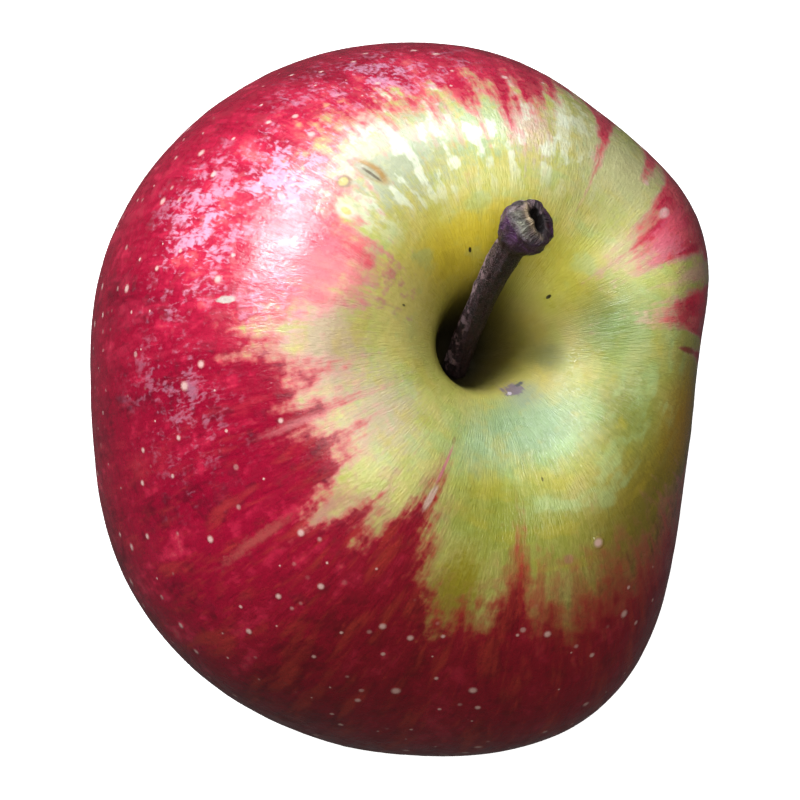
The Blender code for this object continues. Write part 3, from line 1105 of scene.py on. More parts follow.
        # A browner red towards that side: partly real colour, partly painted shade.
        red = net.blend(net.times(self.rust_share, 0.5), red, finish.rust)
        paler = net.blend(net.ramp(self.rusty, -0.2, 0.9), finish.rose, finish.ember)
        red = net.blend(net.ramp(self.medium, 0.5, 0.68, 0.0, 0.6), red, paler)
        thin = net.plus(self.fine, net.centred(self.streak(HAIR), 0.4))
        red = net.blend(net.ramp(thin, 0.54, 0.76, 0.0, 0.4), red, paler)
        red = net.blend(net.ramp(thin, 0.44, 0.28, 0.0, 0.4), red, finish.maroon)
        cloudy = net.minus(1.0, self.rust_share)
        cloudy = net.times(cloudy, net.ramp(depth, 95.0, 55.0, 0.35, 1.0))
        cloudy = net.times(net.ramp(self.clouds, 0.52, 0.68, 0.0, 0.55), cloudy)
        red = net.blend(cloudy, red, finish.rose)
        shallow = net.times(net.ramp(depth, 80.0, 35.0), net.ramp(self.degrees, 66.0, 48.0, 0.15, 1.0))
        pinkish = net.times(net.ramp(self.blots, 0.48, 0.64, 0.0, 0.6), shallow)
        red = net.blend(pinkish, red, finish.salmon)
        rim = net.blend(self.rust_share, finish.salmon, finish.ember)
        return net.blend(net.times(fringe, 0.6), red, rim)

    def ground(self, halo: Socket) -> Socket:
        """The yellow-green ground round the stem.

        Args:
            halo: The share of the warm halo outside the red's edge.

        Returns:
            The colour.
        """
        net, finish = self.net, self.finish
        inside = net.ramp(self.degrees, 22.0, 12.0, 0.0, 0.6)
        ground = net.blend(net.ramp(self.mottle, 0.3, 0.7), finish.lime, finish.straw)
        ground = self.lay(GROUND_AND_SHADE_PATCHES, net.blend(inside, ground, finish.ochre))
        zones = net.plus(self.streak(BANDS), net.centred(self.clouds, 0.5))
        minty = net.times(net.ramp(zones, 0.5, 0.68, 0.0, 0.4), net.ramp(self.degrees, 40.0, 32.0))
        minty = net.times(minty, net.ramp(self.degrees, 16.0, 26.0))
        ground = net.blend(minty, ground, finish.mint)
        ground = net.blend(net.ramp(zones, 0.48, 0.32, 0.0, 0.3), ground, finish.gold)
        # Pale cream streaks on the crest towards the light: partly real streaks, partly painted highlight.
        highlight_side = net.ramp(net.vector("DOT_PRODUCT", self.around, STREAK_HIGHLIGHT_SIDE), 0.6, 0.95)
        streaks_and_highlight = net.plus(self.streak(LINES), net.centred(self.blots, 0.35))
        streaks_and_highlight = net.times(net.ramp(streaks_and_highlight, 0.49, 0.6, 0.0, 0.85), net.ramp(self.degrees, 26.0, 36.0))
        ground = net.blend(net.times(streaks_and_highlight, highlight_side), ground, finish.cream)
        # The halo turns a darker tan on the same side: partly real colour, partly painted shade.
        return net.blend(halo, self.throat(ground), net.blend(self.rust_share, finish.blushed, finish.tanned))

    def throat(self, ground: Socket) -> Socket:
        """The ground with painted shade and painted shadow in the throat, which reach further out on its
        gentle side.

        Args:
            ground: The ground's colour.

        Returns:
            The colour.
        """
        net, form, finish = self.net, self.form, self.finish
        middle = (form.core_x + form.throat_x, form.core_y + form.throat_y, 0.0)
        east, north, _ = net.separate(net.vector("SUBTRACT", self.place, middle))
        heading = net.minus(net.math("ARCTAN2", north, east), form.gentle_azimuth)
        gentle = net.math("POWER", net.math("MULTIPLY_ADD", net.math("COSINE", heading), 0.5, 0.5), 1.5)
        reach = net.vector("LENGTH", net.combine(east, north, 0.0))
        above = net.math("GREATER_THAN", net.separate(self.place)[2], form.girth_level)
        behind = net.math("MULTIPLY_ADD", self.east, -0.5, 0.4)
        # Painted shade: a broad darkening round the throat, more towards -X and on its gentle side.
        painted_shade = net.minus(1.0, net.ramp(reach, 0.0035, net.between(gentle, 0.0115, 0.0125)))
        painted_shade = net.times(painted_shade, net.math("MAXIMUM", behind, net.times(gentle, 0.9)))
        ground = net.blend(net.times(painted_shade, above), ground, finish.throat_shade)
        # Painted shadow: near black close to the throat's middle, reaching further out on its gentle side.
        start, end = net.between(gentle, 0.0032, 0.0016), net.between(gentle, 0.0052, 0.0088)
        painted_shadow = net.minus(1.0, net.ramp(reach, start, end))
        painted_shadow = net.times(painted_shadow, net.times(above, 0.94))
        return net.blend(painted_shadow, ground, finish.throat_dark)

    def bloom(self, colour: Socket) -> Socket:
        """The colour with pale, waxy flecks on it, which are partly the skin's wax and partly painted
        highlight on the side towards the light.
        """
        net = self.net
        bloom = self.mask_of(BLOOM_AND_HIGHLIGHT_PATCHES[0])
        for patch in BLOOM_AND_HIGHLIGHT_PATCHES[1:]:
            bloom = net.math("MAXIMUM", bloom, self.mask_of(patch))
        fleck = net.total([
            self.flecks, net.centred(self.stain(CLUSTERS), 1.2), net.centred(self.blots, 0.4),
        ])
        fleck = net.ramp(net.math("MULTIPLY_ADD", bloom, 0.14, fleck), 0.54, 0.78, 0.0, 0.72)
        return net.blend(net.times(fleck, bloom), colour, BLOOM_AND_HIGHLIGHT)

    def freckles(self) -> Socket:
        """The share of the faint freckles between the pores."""
        net = self.net
        dots = net.cells(self.place, FRECKLE_SCALE, self.seed)
        dot = net.ramp(dots.outputs["Distance"], 0.22, 0.10, 0.0, 0.5)
        return net.times(dot, net.ramp(net.separate(dots.outputs["Color"])[0], 0.55, 0.9))

    def draw(self) -> bpy.types.NodeTree:
        """Draw every layer.

        Returns:
            The group, with the input Place and the outputs Colour, Rough and Height.
        """
        net, finish = self.net, self.finish
        red_share, halo, fringe = self.blush()
        colour = net.blend(red_share, self.ground(halo), self.red(fringe))
        colour = self.bloom(self.lay(MARKS, colour))
        freckle = self.freckles()
        colour = net.blend(net.times(freckle, red_share), colour, finish.pore)
        shades = net.total([
            net.centred(self.speck, 0.35), net.centred(self.flecks, 0.2), net.centred(self.blots, 0.3),
        ])
        shades = net.times(shades, net.between(red_share, 0.6, 1.0))
        colour = net.vector("SCALE", colour, scale=net.plus(shades, 1.0))
        net.feed(self.result.inputs["Colour"], colour)
        rough = net.total([net.centred(self.mottle, 0.2), net.centred(self.blots, 0.5), finish.roughness])
        rough = net.math("MAXIMUM", rough, finish.least_roughness)
        rough = net.plus(rough, net.ramp(self.degrees, 19.0, 14.0, 0.0, 0.3))
        net.feed(self.result.inputs["Rough"], net.math("MULTIPLY_ADD", freckle, 0.2, rough))
        height = net.total([
            net.centred(self.mottle, 0.6), net.centred(self.flecks, 0.9), net.centred(self.blots, 0.6),
        ])
        net.feed(self.result.inputs["Height"], height)
        return net.tree


def new_material(
    name: str, coat: float, coat_roughness: float,
) -> tuple[bpy.types.Material, Net, bpy.types.Node]:
    """Start a material whose coat is set on the shader itself.

    Args:
        name: The material's name.
        coat: The coat's weight.
        coat_roughness: The coat's roughness.

    Returns:
        The material, its net and its shader.
    """
    material = bpy.data.materials.new(name)
    material.use_nodes = True
    shader = material.node_tree.nodes["Principled BSDF"]
    shader.inputs["Coat Weight"].default_value = coat
    shader.inputs["Coat Roughness"].default_value = coat_roughness
    return material, Net(material.node_tree), shader


def add_bump(net: Net, shader: bpy.types.Node, height: Socket, distance: float, strength: float) -> None:
    """Give a shader small bumps.

    Args:
        net: The material's net.
        shader: The shader.
        height: The bumps' height, about 0 to 1.
        distance: How high a height of 1 stands, in metres.
        strength: How much of the bumps shows.
    """
    bump = net.add("ShaderNodeBump", {"Strength": strength, "Distance": distance, "Height": height})
    net.feed(shader.inputs["Normal"], bump.outputs[0])


@dataclass(frozen=True)
class Pores:
    """Lenticels: small corky pores strewn over the skin, closer together towards the base."""

    spacing: float = 0.0026
    density: float = 90000.0
    smallest: float = 0.00018
    largest: float = 0.00078
    rise: float = 0.06
    sunk_share: float = 0.45
    seed: int = 5

    def tree(self, form: Form) -> bpy.types.NodeTree:
        """The tree that strews the pores over a skin.

        Args:
            form: The fruit's sizes.

        Returns:
            The geometry tree.
        """
        net, source, result = new_tree(
            "pores", Kind.GEOMETRY,
            {"Geometry": "NodeSocketGeometry", **labelled(self), "Material": "NodeSocketMaterial"},
            {"Geometry": "NodeSocketGeometry"},
        )
        take = source.outputs
        place = net.add("GeometryNodeInputPosition").outputs[0]
        bearings = net.use(bearings_group(Kind.GEOMETRY), {"Place": place, "Core": form.core})
        bearing = bearings.outputs["Bearing"]
        crowd = net.ramp(bearing, math.radians(36), math.radians(62), 0.015, 0.8)
        crowd = net.plus(crowd, net.ramp(bearing, math.radians(75), math.radians(130), 0.0, 0.25))
        spread = net.add("GeometryNodeDistributePointsOnFaces", {
            "Mesh": take["Geometry"], "Distance Min": take["Spacing"], "Density Max": take["Density"],
            "Density Factor": crowd, "Seed": take["Seed"],
        }, distribute_method="POISSON")
        dome = net.add("GeometryNodeMeshUVSphere", {"Segments": 9, "Rings": 8, "Radius": 1.0})
        local = net.separate(net.add("GeometryNodeInputPosition").outputs[0])
        marked = net.add("GeometryNodeStoreNamedAttribute", {
            "Geometry": dome.outputs[0], "Name": "middle", "Value": local[2],
        }, data_type="FLOAT", domain="POINT")
        sunk = net.moved(marked.outputs[0], net.combine(0.0, 0.0, net.times(take["Sunk Share"], -1.0)))
        chance = net.chance(net.plus(take["Seed"], 1.0))
        size = net.between(net.math("POWER", chance, 2.0), take["Smallest"], take["Largest"])
        scale = net.combine(size, size, net.times(size, take["Rise"]))
        strewn = net.add("GeometryNodeInstanceOnPoints", {
            "Points": spread.outputs["Points"], "Instance": sunk,
            "Rotation": spread.outputs["Rotation"], "Scale": scale,
        })
        net.hand_out(strewn.outputs[0], take["Material"], result)
        return net.tree

    def build(self, skin: Skin, material: bpy.types.Material) -> bpy.types.Object:
        """Strew the pores over the finished skin.

        Args:
            skin: The finished skin.
            material: The pores' finish.

        Returns:
            The pores, as one piece.
        """
        inputs = {**labelled(self), "Material": material}
        return grow("apple_pores", self.tree(skin.form), inputs, skin.piece.data.copy())


# Stem

STEM_LAYERS = ("along", "hollow", "cork", "facet", "violet", "worn")


@dataclass(frozen=True)
class StemFinish:
    """Colours of the dry, dark stem."""

    bark: Colour = paint(50, 20, 26)
    # Near black, for the bark's dark mottle and for painted shade at the root and in the knob's hollow.
    dusk: Colour = paint(16, 8, 10)
    fibre: Colour = paint(176, 146, 154)
    cork: Colour = paint(206, 182, 146)
    facet: Colour = paint(158, 158, 140)
    violet: Colour = paint(86, 44, 92)
    gloss: float = 0.32
    least_roughness: float = 0.12
    roughness_spread: float = 0.7
    bump: float = 0.0006
    seed: float = 4.0

    def material(self) -> bpy.types.Material:
        """The stem's material."""
        material, net, shader = new_material("apple_stem", 0.1, 0.2)
        shader.inputs["Specular IOR Level"].default_value = self.gloss
        place = net.add("ShaderNodeTexCoord").outputs["Object"]
        marks = {
            name: net.add("ShaderNodeAttribute", attribute_name=name).outputs["Fac"]
            for name in STEM_LAYERS
        }
        around = net.add("ShaderNodeAttribute", attribute_name="around").outputs["Vector"]
        x, y, _ = net.separate(around)
        twisted = net.combine(x, y, net.times(marks["along"], 1.4))
        grain = net.use(grain_group(), {"Place": twisted, "Scale": 3.2, "Seed": self.seed})
        lumps = net.use(grain_group(), {"Place": place, "Scale": 900.0, "Seed": self.seed})
        colour = net.blend(net.ramp(grain.outputs["Mottle"], 0.35, 0.65), self.dusk, self.bark)
        streaks = net.ramp(grain.outputs["Fine"], 0.5, 0.66)
        # Fibre streaks show most on the lit side: partly real fibres, partly painted highlight.
        streaks = net.times(streaks, net.between(marks["worn"], 0.25, 0.85))
        colour = net.blend(streaks, colour, self.fibre)
        uneven = net.ramp(lumps.outputs["Mottle"], 0.38, 0.62, 0.25, 1.0)
        # Painted shade: the stalk darkens to near black towards its root, down in the shaded throat.
        colour = net.blend(net.ramp(marks["along"], 0.62, 0.2, 0.0, 0.75), colour, self.dusk)
        # Pale patches on the lit side: partly real fibres, partly painted highlight.
        lit_side = net.ramp(net.vector("DOT_PRODUCT", around, (-0.25, -0.97, 0.0)), 0.0, 0.8)
        patchy = net.plus(grain.outputs["Mottle"], net.centred(lumps.outputs["Mottle"], 1.0))
        pale = net.times(lit_side, net.ramp(patchy, 0.5, 0.66, 0.0, 0.8))
        pale = net.times(pale, net.ramp(marks["along"], 0.4, 0.7))
        colour = net.blend(pale, colour, self.fibre)
        for name, over in (("violet", self.violet), ("facet", self.facet), ("cork", self.cork)):
            colour = net.blend(net.times(marks[name], uneven), colour, over)
        # Painted shade: the knob's hollow darkened almost to black.
        colour = net.blend(net.times(marks["hollow"], 0.95), colour, self.dusk)
        net.feed(shader.inputs["Base Color"], colour)
        rough = net.math("MULTIPLY_ADD", lumps.outputs["Fine"], self.roughness_spread, self.least_roughness)
        net.feed(shader.inputs["Roughness"], rough)
        height = net.plus(grain.outputs["Fine"], net.times(lumps.outputs["Mottle"], 0.7))
        add_bump(net, shader, height, self.bump, 0.8)
        return material


@dataclass(frozen=True)
class Stem:
    """The woody stalk: a ridged shaft that leans out of the throat and ends in a clubbed, hollow knob."""

    root_x: float = 0.0007
    root_y: float = -0.0022
    root_gap: float = 0.0004
    lean: tuple[float, float, float] = (-0.0036, 0.0002, 0.0084)
    tip: tuple[float, float, float] = (-0.0104, 0.0046, 0.0353)
    end_direction: tuple[float, float, float] = (-0.08, 0.52, 0.85)
    end_pull: float = 0.0045
    base_radius: float = 0.0014
    waist_radius: float = 0.00135
    neck_radius: float = 0.0016
    knob_radius: float = 0.0028
    root_taper: float = 0.004
    neck_start: float = 0.013
    knob_start: float = 0.0048
    knob_full: float = 0.0019
    rim_rounding: float = 0.0007
    root_rounding: float = 0.0006
    hollow_radius: float = 0.0015
    hollow_depth: float = 0.0018
    hollow_squeeze: float = 0.6
    hollow_shift: float = 0.0003
    ridge_rise: float = 0.0003
    shown_side: float = -100.0
    end_slant: float = 5.0
    slant_azimuth: float = -80.0
    slant_reach: float = 0.006
    ridge_height: float = 0.00012
    knot_height: float = 0.00035
    twist: float = 60.0
    sides: int = 84
    rows: int = 210
    path_points: int = 240

    def path(self, form: Form, skin: Skin) -> list[Vector]:
        """Points along the middle of the stalk, from the throat's floor to the tip.

        Args:
            form: The fruit's sizes.
            skin: The finished skin, which carries the root.

        Returns:
            The points, in the part's frame.
        """
        core = Vector(form.core)
        floor = skin.height_at(core.x + self.root_x, core.y + self.root_y)
        root = Vector((core.x + self.root_x, core.y + self.root_y, floor + self.root_gap))
        tip = Vector(self.tip) + core
        tip_handle = tip - Vector(self.end_direction).normalized() * self.end_pull
        return interpolate_bezier(root, root + Vector(self.lean), tip_handle, tip, self.path_points)

    def radius_at(self, along: float, length: float) -> float:
        """Radius of the stalk at a distance from its root: a waist, then a neck that swells to the knob."""
        below = length - along
        foot = mix_values(self.base_radius, self.waist_radius, smooth_step(along / self.root_taper))
        neck = smooth_step((self.neck_start - below) / (self.neck_start - self.knob_start))
        knob = smooth_step((self.knob_start - below) / (self.knob_start - self.knob_full))
        foot += (self.neck_radius - self.waist_radius) * neck
        return foot + (self.knob_radius - self.neck_radius) * knob

    def outline(self, length: float) -> list[tuple[float, float, float]]:
        """Radius, distance and place on the rim of each ring, from the hollow's middle to the root's end.

        The place on the rim is -1 in the middle of the hollow, 0 at its edge, 1 at the knob's side and
        more than 1 below it.

        Args:
            length: The stalk's length.

        Returns:
            The rings, in order.
        """
        steps = 12
        quarter = [math.radians(90 * step / steps) for step in range(steps + 1)]
        rings = []
        for angle in quarter[1:]:
            depth = self.hollow_depth * math.cos(angle)
            rings.append((self.hollow_radius * math.sin(angle), length - depth, -math.cos(angle)))
        for angle in quarter:
            inset = self.rim_rounding * (1 - math.sin(angle))
            drop = self.rim_rounding * (1 - math.cos(angle))
            rings.append((self.knob_radius - inset, length - drop, 0.2 + 0.8 * math.sin(angle)))
        body = length - self.rim_rounding - self.root_rounding
        for row in range(1, self.rows):
            along = self.root_rounding + body * (1 - row / self.rows)
            rings.append((self.radius_at(along, length), along, 1 + (length - along) / self.knob_radius))
        for angle in quarter:
            inset = self.root_rounding * (1 - math.cos(angle))
            rings.append((self.base_radius - inset, self.root_rounding * (1 - math.sin(angle)), length))
        return rings

    @staticmethod
    def side(turn: float, azimuth: float, power: float) -> float:
        """How much a turn round the stalk faces an azimuth in degrees, from 0 to 1."""
        return max(0.0, math.cos(turn - math.radians(azimuth))) ** power

    def bark(self, turn: float, along: float, length: float) -> float:
        """How far the bark stands out at a turn and a distance from the root."""
        twist = turn + along * self.twist
        ring = Vector((math.cos(twist), math.sin(twist), 0.0))
        ridges = noise.fractal(ring * 2.6 + Vector((0.0, 0.0, along * 90)), 0.9, 2.0, 3)
        knob = smooth_step((along - length + self.knob_start * 1.3) / (self.knob_start * 1.3))
        plain = Vector((math.cos(turn), math.sin(turn), along * 420))
        knots = noise.fractal(plain * 1.3, 0.8, 2.2, 3)
        scars = max(0.0, noise.noise(plain * 2.1 + Vector((5.0, 2.0, 1.0)))) ** 2
        return self.ridge_height * (ridges * 1.6 + scars * 2.0) + self.knot_height * knob * knots

    def build(self, form: Form, skin: Skin, material: bpy.types.Material) -> bpy.types.Object:
        """Make the stalk.

        Args:
            form: The fruit's sizes.
            skin: The finished skin.
            material: The stem's finish.

        Returns:
            The stalk.
        """
        path = self.path(form, skin)
        steps = [(end - start).length for start, end in zip(path, path[1:])]
        length = sum(steps)
        slant = math.tan(math.radians(self.end_slant))
        heading = math.radians(self.slant_azimuth)
        rings = self.outline(length)
        shell = bmesh.new()
        layers = {name: shell.verts.layers.float.new(name) for name in STEM_LAYERS}
        around_layer = shell.verts.layers.float_vector.new("around")

        def vertex_at(radius: float, along: float, rim: float, turn: float) -> bmesh.types.BMVert:
            """One point of the bark."""
            hollow = smooth_step(-rim * 4 + 0.3)
            sunk = smooth_step(1 - max(0.0, rim))
            out = radius + self.bark(turn, along, length) * min(1.0, radius / self.base_radius)
            x = out * math.cos(turn)
            y = out * math.sin(turn) * mix_values(1.0, self.hollow_squeeze, sunk) + self.hollow_shift * sunk
            end = smooth_step((along - (length - self.slant_reach)) / self.slant_reach)
            placed = along - end * slant * (x * math.cos(heading) + y * math.sin(heading))
            if rim < 1.0:
                placed += self.knot_height * noise.noise(Vector((math.cos(turn), math.sin(turn), 3.0)) * 1.7)
            ridge = near(rim, 0.15, 0.35) * self.side(turn, self.shown_side, 1.0)
            vertex = shell.verts.new(place_on_path(path, steps, placed + self.ridge_rise * ridge, x, y))
            twisted = turn + along * self.twist
            vertex[around_layer] = Vector((math.cos(twisted), math.sin(twisted), 0.0))
            back = self.side(turn, self.shown_side + 180, 1.0)
            vertex[layers["along"]] = along / self.knob_radius
            vertex[layers["hollow"]] = hollow
            vertex[layers["cork"]] = max(ridge, 0.6 * near(rim, 1.0, 0.16) * back)
            vertex[layers["facet"]] = near(rim, 0.7, 0.45) * self.side(turn, self.shown_side, 3.0)
            vertex[layers["violet"]] = max(near(rim, 1.4, 1.0) * (1 - 0.7 * back), near(rim, 0.6, 0.4) * back)
            # The lit side of the upper stalk, where fibre streaks are partly painted highlight.
            vertex[layers["worn"]] = near(rim, 3.6, 2.2) * self.side(turn, self.shown_side - 40, 1.0)
            return vertex

        turns = [math.tau * side / self.sides for side in range(self.sides)]
        grid = [[vertex_at(*one, turn) for turn in turns] for one in rings]
        for upper, lower in zip(grid, grid[1:]):
            for side in range(self.sides):
                beside = (side + 1) % self.sides
                shell.faces.new((upper[side], lower[side], lower[beside], upper[beside]))
        for ring_of_points in (grid[0], grid[-1]):
            close_ring(shell, ring_of_points, layers)
        bmesh.ops.recalc_face_normals(shell, faces=shell.faces[:])
        mesh = mesh_of(shell, "apple_stem")
        mesh.shade_smooth()
        mesh.materials.append(material)
        return link("apple_stem", mesh)


def close_ring(shell: bmesh.types.BMesh, ring_of_points: list, layers: dict) -> None:
    """Close the end of a tube with a fan to its middle.

    Args:
        shell: The mesh in the making.
        ring_of_points: The last ring's vertices.
        layers: The vertex layers to fill.
    """
    centre = sum((vertex.co for vertex in ring_of_points), Vector()) / len(ring_of_points)
    middle = shell.verts.new(centre)
    for layer in layers.values():
        middle[layer] = ring_of_points[0][layer]
    for side, vertex in enumerate(ring_of_points):
        shell.faces.new((middle, vertex, ring_of_points[(side + 1) % len(ring_of_points)]))


def place_on_path(path: list[Vector], steps: list[float], along: float, x: float, y: float) -> Vector:
    """Place a point of a straight stalk on its bent path.

    Args:
        path: The path's points.
        steps: The lengths between them.
        along: The distance from the path's start.
        x: Offset across the stalk.
        y: Offset across the stalk, square to x.

    Returns:
        The point, in the part's frame.
    """
    gone = 0.0
    for place, step in enumerate(steps):
        if gone + step >= along:
            break
        gone += step
    direction = (path[place + 1] - path[place]).normalized()
    centre = path[place] + direction * (along - gone)
    return centre + Vector((0.0, 0.0, 1.0)).rotation_difference(direction) @ Vector((x, y, 0.0))


# Calyx

@dataclass(frozen=True)
class CalyxFinish:
    """Colours of the dried sepals and stamens."""

    dry: Colour = paint(104, 74, 44)
    dark: Colour = paint(48, 32, 20)
    down: Colour = paint(170, 148, 112)
    least_roughness: float = 0.75
    roughness_spread: float = 0.2
    bump: float = 0.0002
    seed: float = 8.0

    def material(self) -> bpy.types.Material:
        """The calyx's material."""
        material, net, shader = new_material("apple_calyx", 0.0, 0.5)
        place = net.add("ShaderNodeTexCoord").outputs["Object"]
        grain = net.use(grain_group(), {"Place": place, "Scale": 700.0, "Seed": self.seed})
        colour = net.blend(net.ramp(grain.outputs["Mottle"], 0.35, 0.65), self.dark, self.dry)
        colour = net.blend(net.ramp(grain.outputs["Fine"], 0.5, 0.72, 0.0, 0.6), colour, self.down)
        net.feed(shader.inputs["Base Color"], colour)
        rough = net.math("MULTIPLY_ADD", grain.outputs["Fine"], self.roughness_spread, self.least_roughness)
        net.feed(shader.inputs["Roughness"], rough)
        add_bump(net, shader, grain.outputs["Mottle"], self.bump, 0.6)
        return material


@dataclass(frozen=True)
class Calyx:
    """The dried calyx: five curled sepals round a tuft of stamens, all made by Geometry Nodes."""

    sepals: int = 5
    sepal_length: float = 0.0052
    sepal_width: float = 0.0034
    sepal_thickness: float = 0.00035
    sepal_curl: float = 0.0014
    sepal_droop: float = 0.0011
    sepal_ripple: float = 0.00018
    sepal_root: float = 0.0006
    stamens: int = 17
    stamen_length: float = 0.0034
    stamen_radius: float = 0.00013
    azimuth: float = 11.0
    sink: float = 0.0007
    seed: int = 2

    def sepal_point(self, share: float, side: float, face: int) -> Vector:
        """A point of one sepal.

        Args:
            share: How far along the sepal it is, from 0 to 1.
            side: How far across it is, from -1 to 1.
            face: 1 for the upper face, -1 for the lower one.

        Returns:
            The point.
        """
        waist = 0.75 + 0.5 * math.sin(math.pi * min(1.0, share * 1.3))
        width = self.sepal_width * 0.5 * (1 - share**1.8) * waist
        curl = self.sepal_curl * (share**2 * 1.6 - 0.35 * side**2 * (1 - share))
        wall = self.sepal_thickness * 0.5 * face * math.sqrt(max(0.0, 1 - side**2)) * (1 - 0.7 * share)
        ripple = self.sepal_ripple * math.sin(share * 17 + side * 3)
        height = wall + ripple - curl - self.sepal_droop * share
        return Vector((self.sepal_root + self.sepal_length * share, width * side, height))

    def sepal_mesh(self) -> bpy.types.Mesh:
        """One sepal as a closed blade, rooted at the origin, pointing along +X and hanging down -Z."""
        rows, columns = 18, 10
        across = range(columns + 1)
        shell = bmesh.new()
        top, bottom = (
            [
                [
                    shell.verts.new(self.sepal_point(row / rows, side / columns * 2 - 1, face))
                    for side in across
                ]
                for row in range(rows + 1)
            ]
            for face in (1, -1)
        )
        for sheet in (top, bottom):
            for near_row, far_row in zip(sheet, sheet[1:]):
                for left in range(columns):
                    shell.faces.new((near_row[left], far_row[left], far_row[left + 1], near_row[left + 1]))
        for left in range(columns):
            shell.faces.new((top[0][left], top[0][left + 1], bottom[0][left + 1], bottom[0][left]))
        bmesh.ops.remove_doubles(shell, verts=shell.verts[:], dist=MERGE_DISTANCE)
        bmesh.ops.recalc_face_normals(shell, faces=shell.faces[:])
        return mesh_of(shell, "sepal")

    def tree(self) -> bpy.types.NodeTree:
        """The tree that sets sepals and stamens round the middle of the basin."""
        net, source, result = new_tree(
            "calyx", Kind.GEOMETRY,
            {
                "Geometry": "NodeSocketGeometry", "Sepals": self.sepals, "Stamens": self.stamens,
                "Stamen Length": self.stamen_length, "Stamen Radius": self.stamen_radius, "Azimuth": 0.0,
                "Centre": (0.0, 0.0, 0.0), "Seed": self.seed, "Material": "NodeSocketMaterial",
            },
            {"Geometry": "NodeSocketGeometry"},
        )
        take = source.outputs

        def scatter(count: Socket, start: Value, jitter: float, offset: float) -> tuple[Socket, ...]:
            """Points in one place, each with its own turn and a chance."""
            points = net.add("GeometryNodePoints", {"Count": count})
            index = net.add("GeometryNodeInputIndex").outputs[0]
            chance = net.chance(net.plus(take["Seed"], offset))
            turn = net.math("DIVIDE", net.plus(index, net.centred(chance, jitter)), count)
            return points.outputs[0], net.math("MULTIPLY_ADD", turn, math.tau, start), chance

        points, turn, chance = scatter(take["Sepals"], take["Azimuth"], 0.16, 0.0)
        tilt = net.centred(chance, 0.7)
        size = net.math("MULTIPLY_ADD", chance, 0.22, 0.86)
        star = net.add("GeometryNodeInstanceOnPoints", {
            "Points": points, "Instance": take["Geometry"],
            "Rotation": net.combine(tilt, 0.0, turn), "Scale": net.combine(size, size, size),
        })
        thread = net.add("GeometryNodeMeshCylinder", {
            "Vertices": 6, "Side Segments": 3,
            "Radius": take["Stamen Radius"], "Depth": take["Stamen Length"],
        })
        head_radius = net.times(take["Stamen Radius"], 2.6)
        head = net.add("GeometryNodeMeshUVSphere", {"Segments": 8, "Rings": 5, "Radius": head_radius})
        half = net.times(take["Stamen Length"], 0.5)
        stamen = net.joined(
            net.moved(head.outputs[0], net.combine(0.0, 0.0, take["Stamen Length"])),
            net.moved(thread.outputs[0], net.combine(0.0, 0.0, half)),
        )
        tuft, tuft_turn, tuft_chance = scatter(take["Stamens"], 0.4, 0.9, 5.0)
        lean = net.math("MULTIPLY_ADD", tuft_chance, 0.75, math.pi - 0.95)
        long = net.math("MULTIPLY_ADD", tuft_chance, 0.5, 0.55)
        stamens = net.add("GeometryNodeInstanceOnPoints", {
            "Points": tuft, "Instance": stamen,
            "Rotation": net.combine(lean, 0.0, tuft_turn), "Scale": net.combine(1.0, 1.0, long),
        })
        whole = net.joined(star.outputs[0], stamens.outputs[0])
        net.hand_out(net.moved(whole, take["Centre"]), take["Material"], result)
        return net.tree

    def build(self, form: Form, skin: Skin, material: bpy.types.Material) -> bpy.types.Object:
        """Make the calyx in the middle of the basin.

        Args:
            form: The fruit's sizes.
            skin: The finished skin.
            material: The calyx's finish.

        Returns:
            The calyx.
        """
        roof = skin.height_at(form.core_x, form.core_y, from_below=True)
        centre = (form.core_x, form.core_y, roof - self.sink)
        inputs = {
            "Sepals": self.sepals, "Stamens": self.stamens, "Stamen Length": self.stamen_length,
            "Stamen Radius": self.stamen_radius, "Azimuth": math.radians(self.azimuth), "Centre": centre,
            "Seed": self.seed, "Material": material,
        }
        return grow("apple_calyx", self.tree(), inputs, self.sepal_mesh())


# Studio

@dataclass(frozen=True)
class Lamp:
    """One soft light that faces the fruit, level along its longer side, or only a glint in its gloss."""

    name: str
    direction: tuple[float, float, float]
    distance: float
    width: float
    height: float
    power: float
    colour: Colour
    only_gloss: bool = False

    def hang(self, target: Vector) -> bpy.types.Object:
        """Hang the light.

        Args:
            target: The point that it faces.

        Returns:
            The light.
        """
        data = bpy.data.lights.new(self.name, "AREA")
        data.shape = "ELLIPSE"
        data.size = self.width
        data.size_y = self.height
        data.energy = self.power
        data.color = self.colour
        light = bpy.data.objects.new(self.name, data)
        towards = Vector(self.direction).normalized()
        light.location = target + towards * self.distance
        light.rotation_euler = towards.to_track_quat("Z", "Y").to_euler()
        light.visible_diffuse = not self.only_gloss
        bpy.context.scene.collection.objects.link(light)
        return light


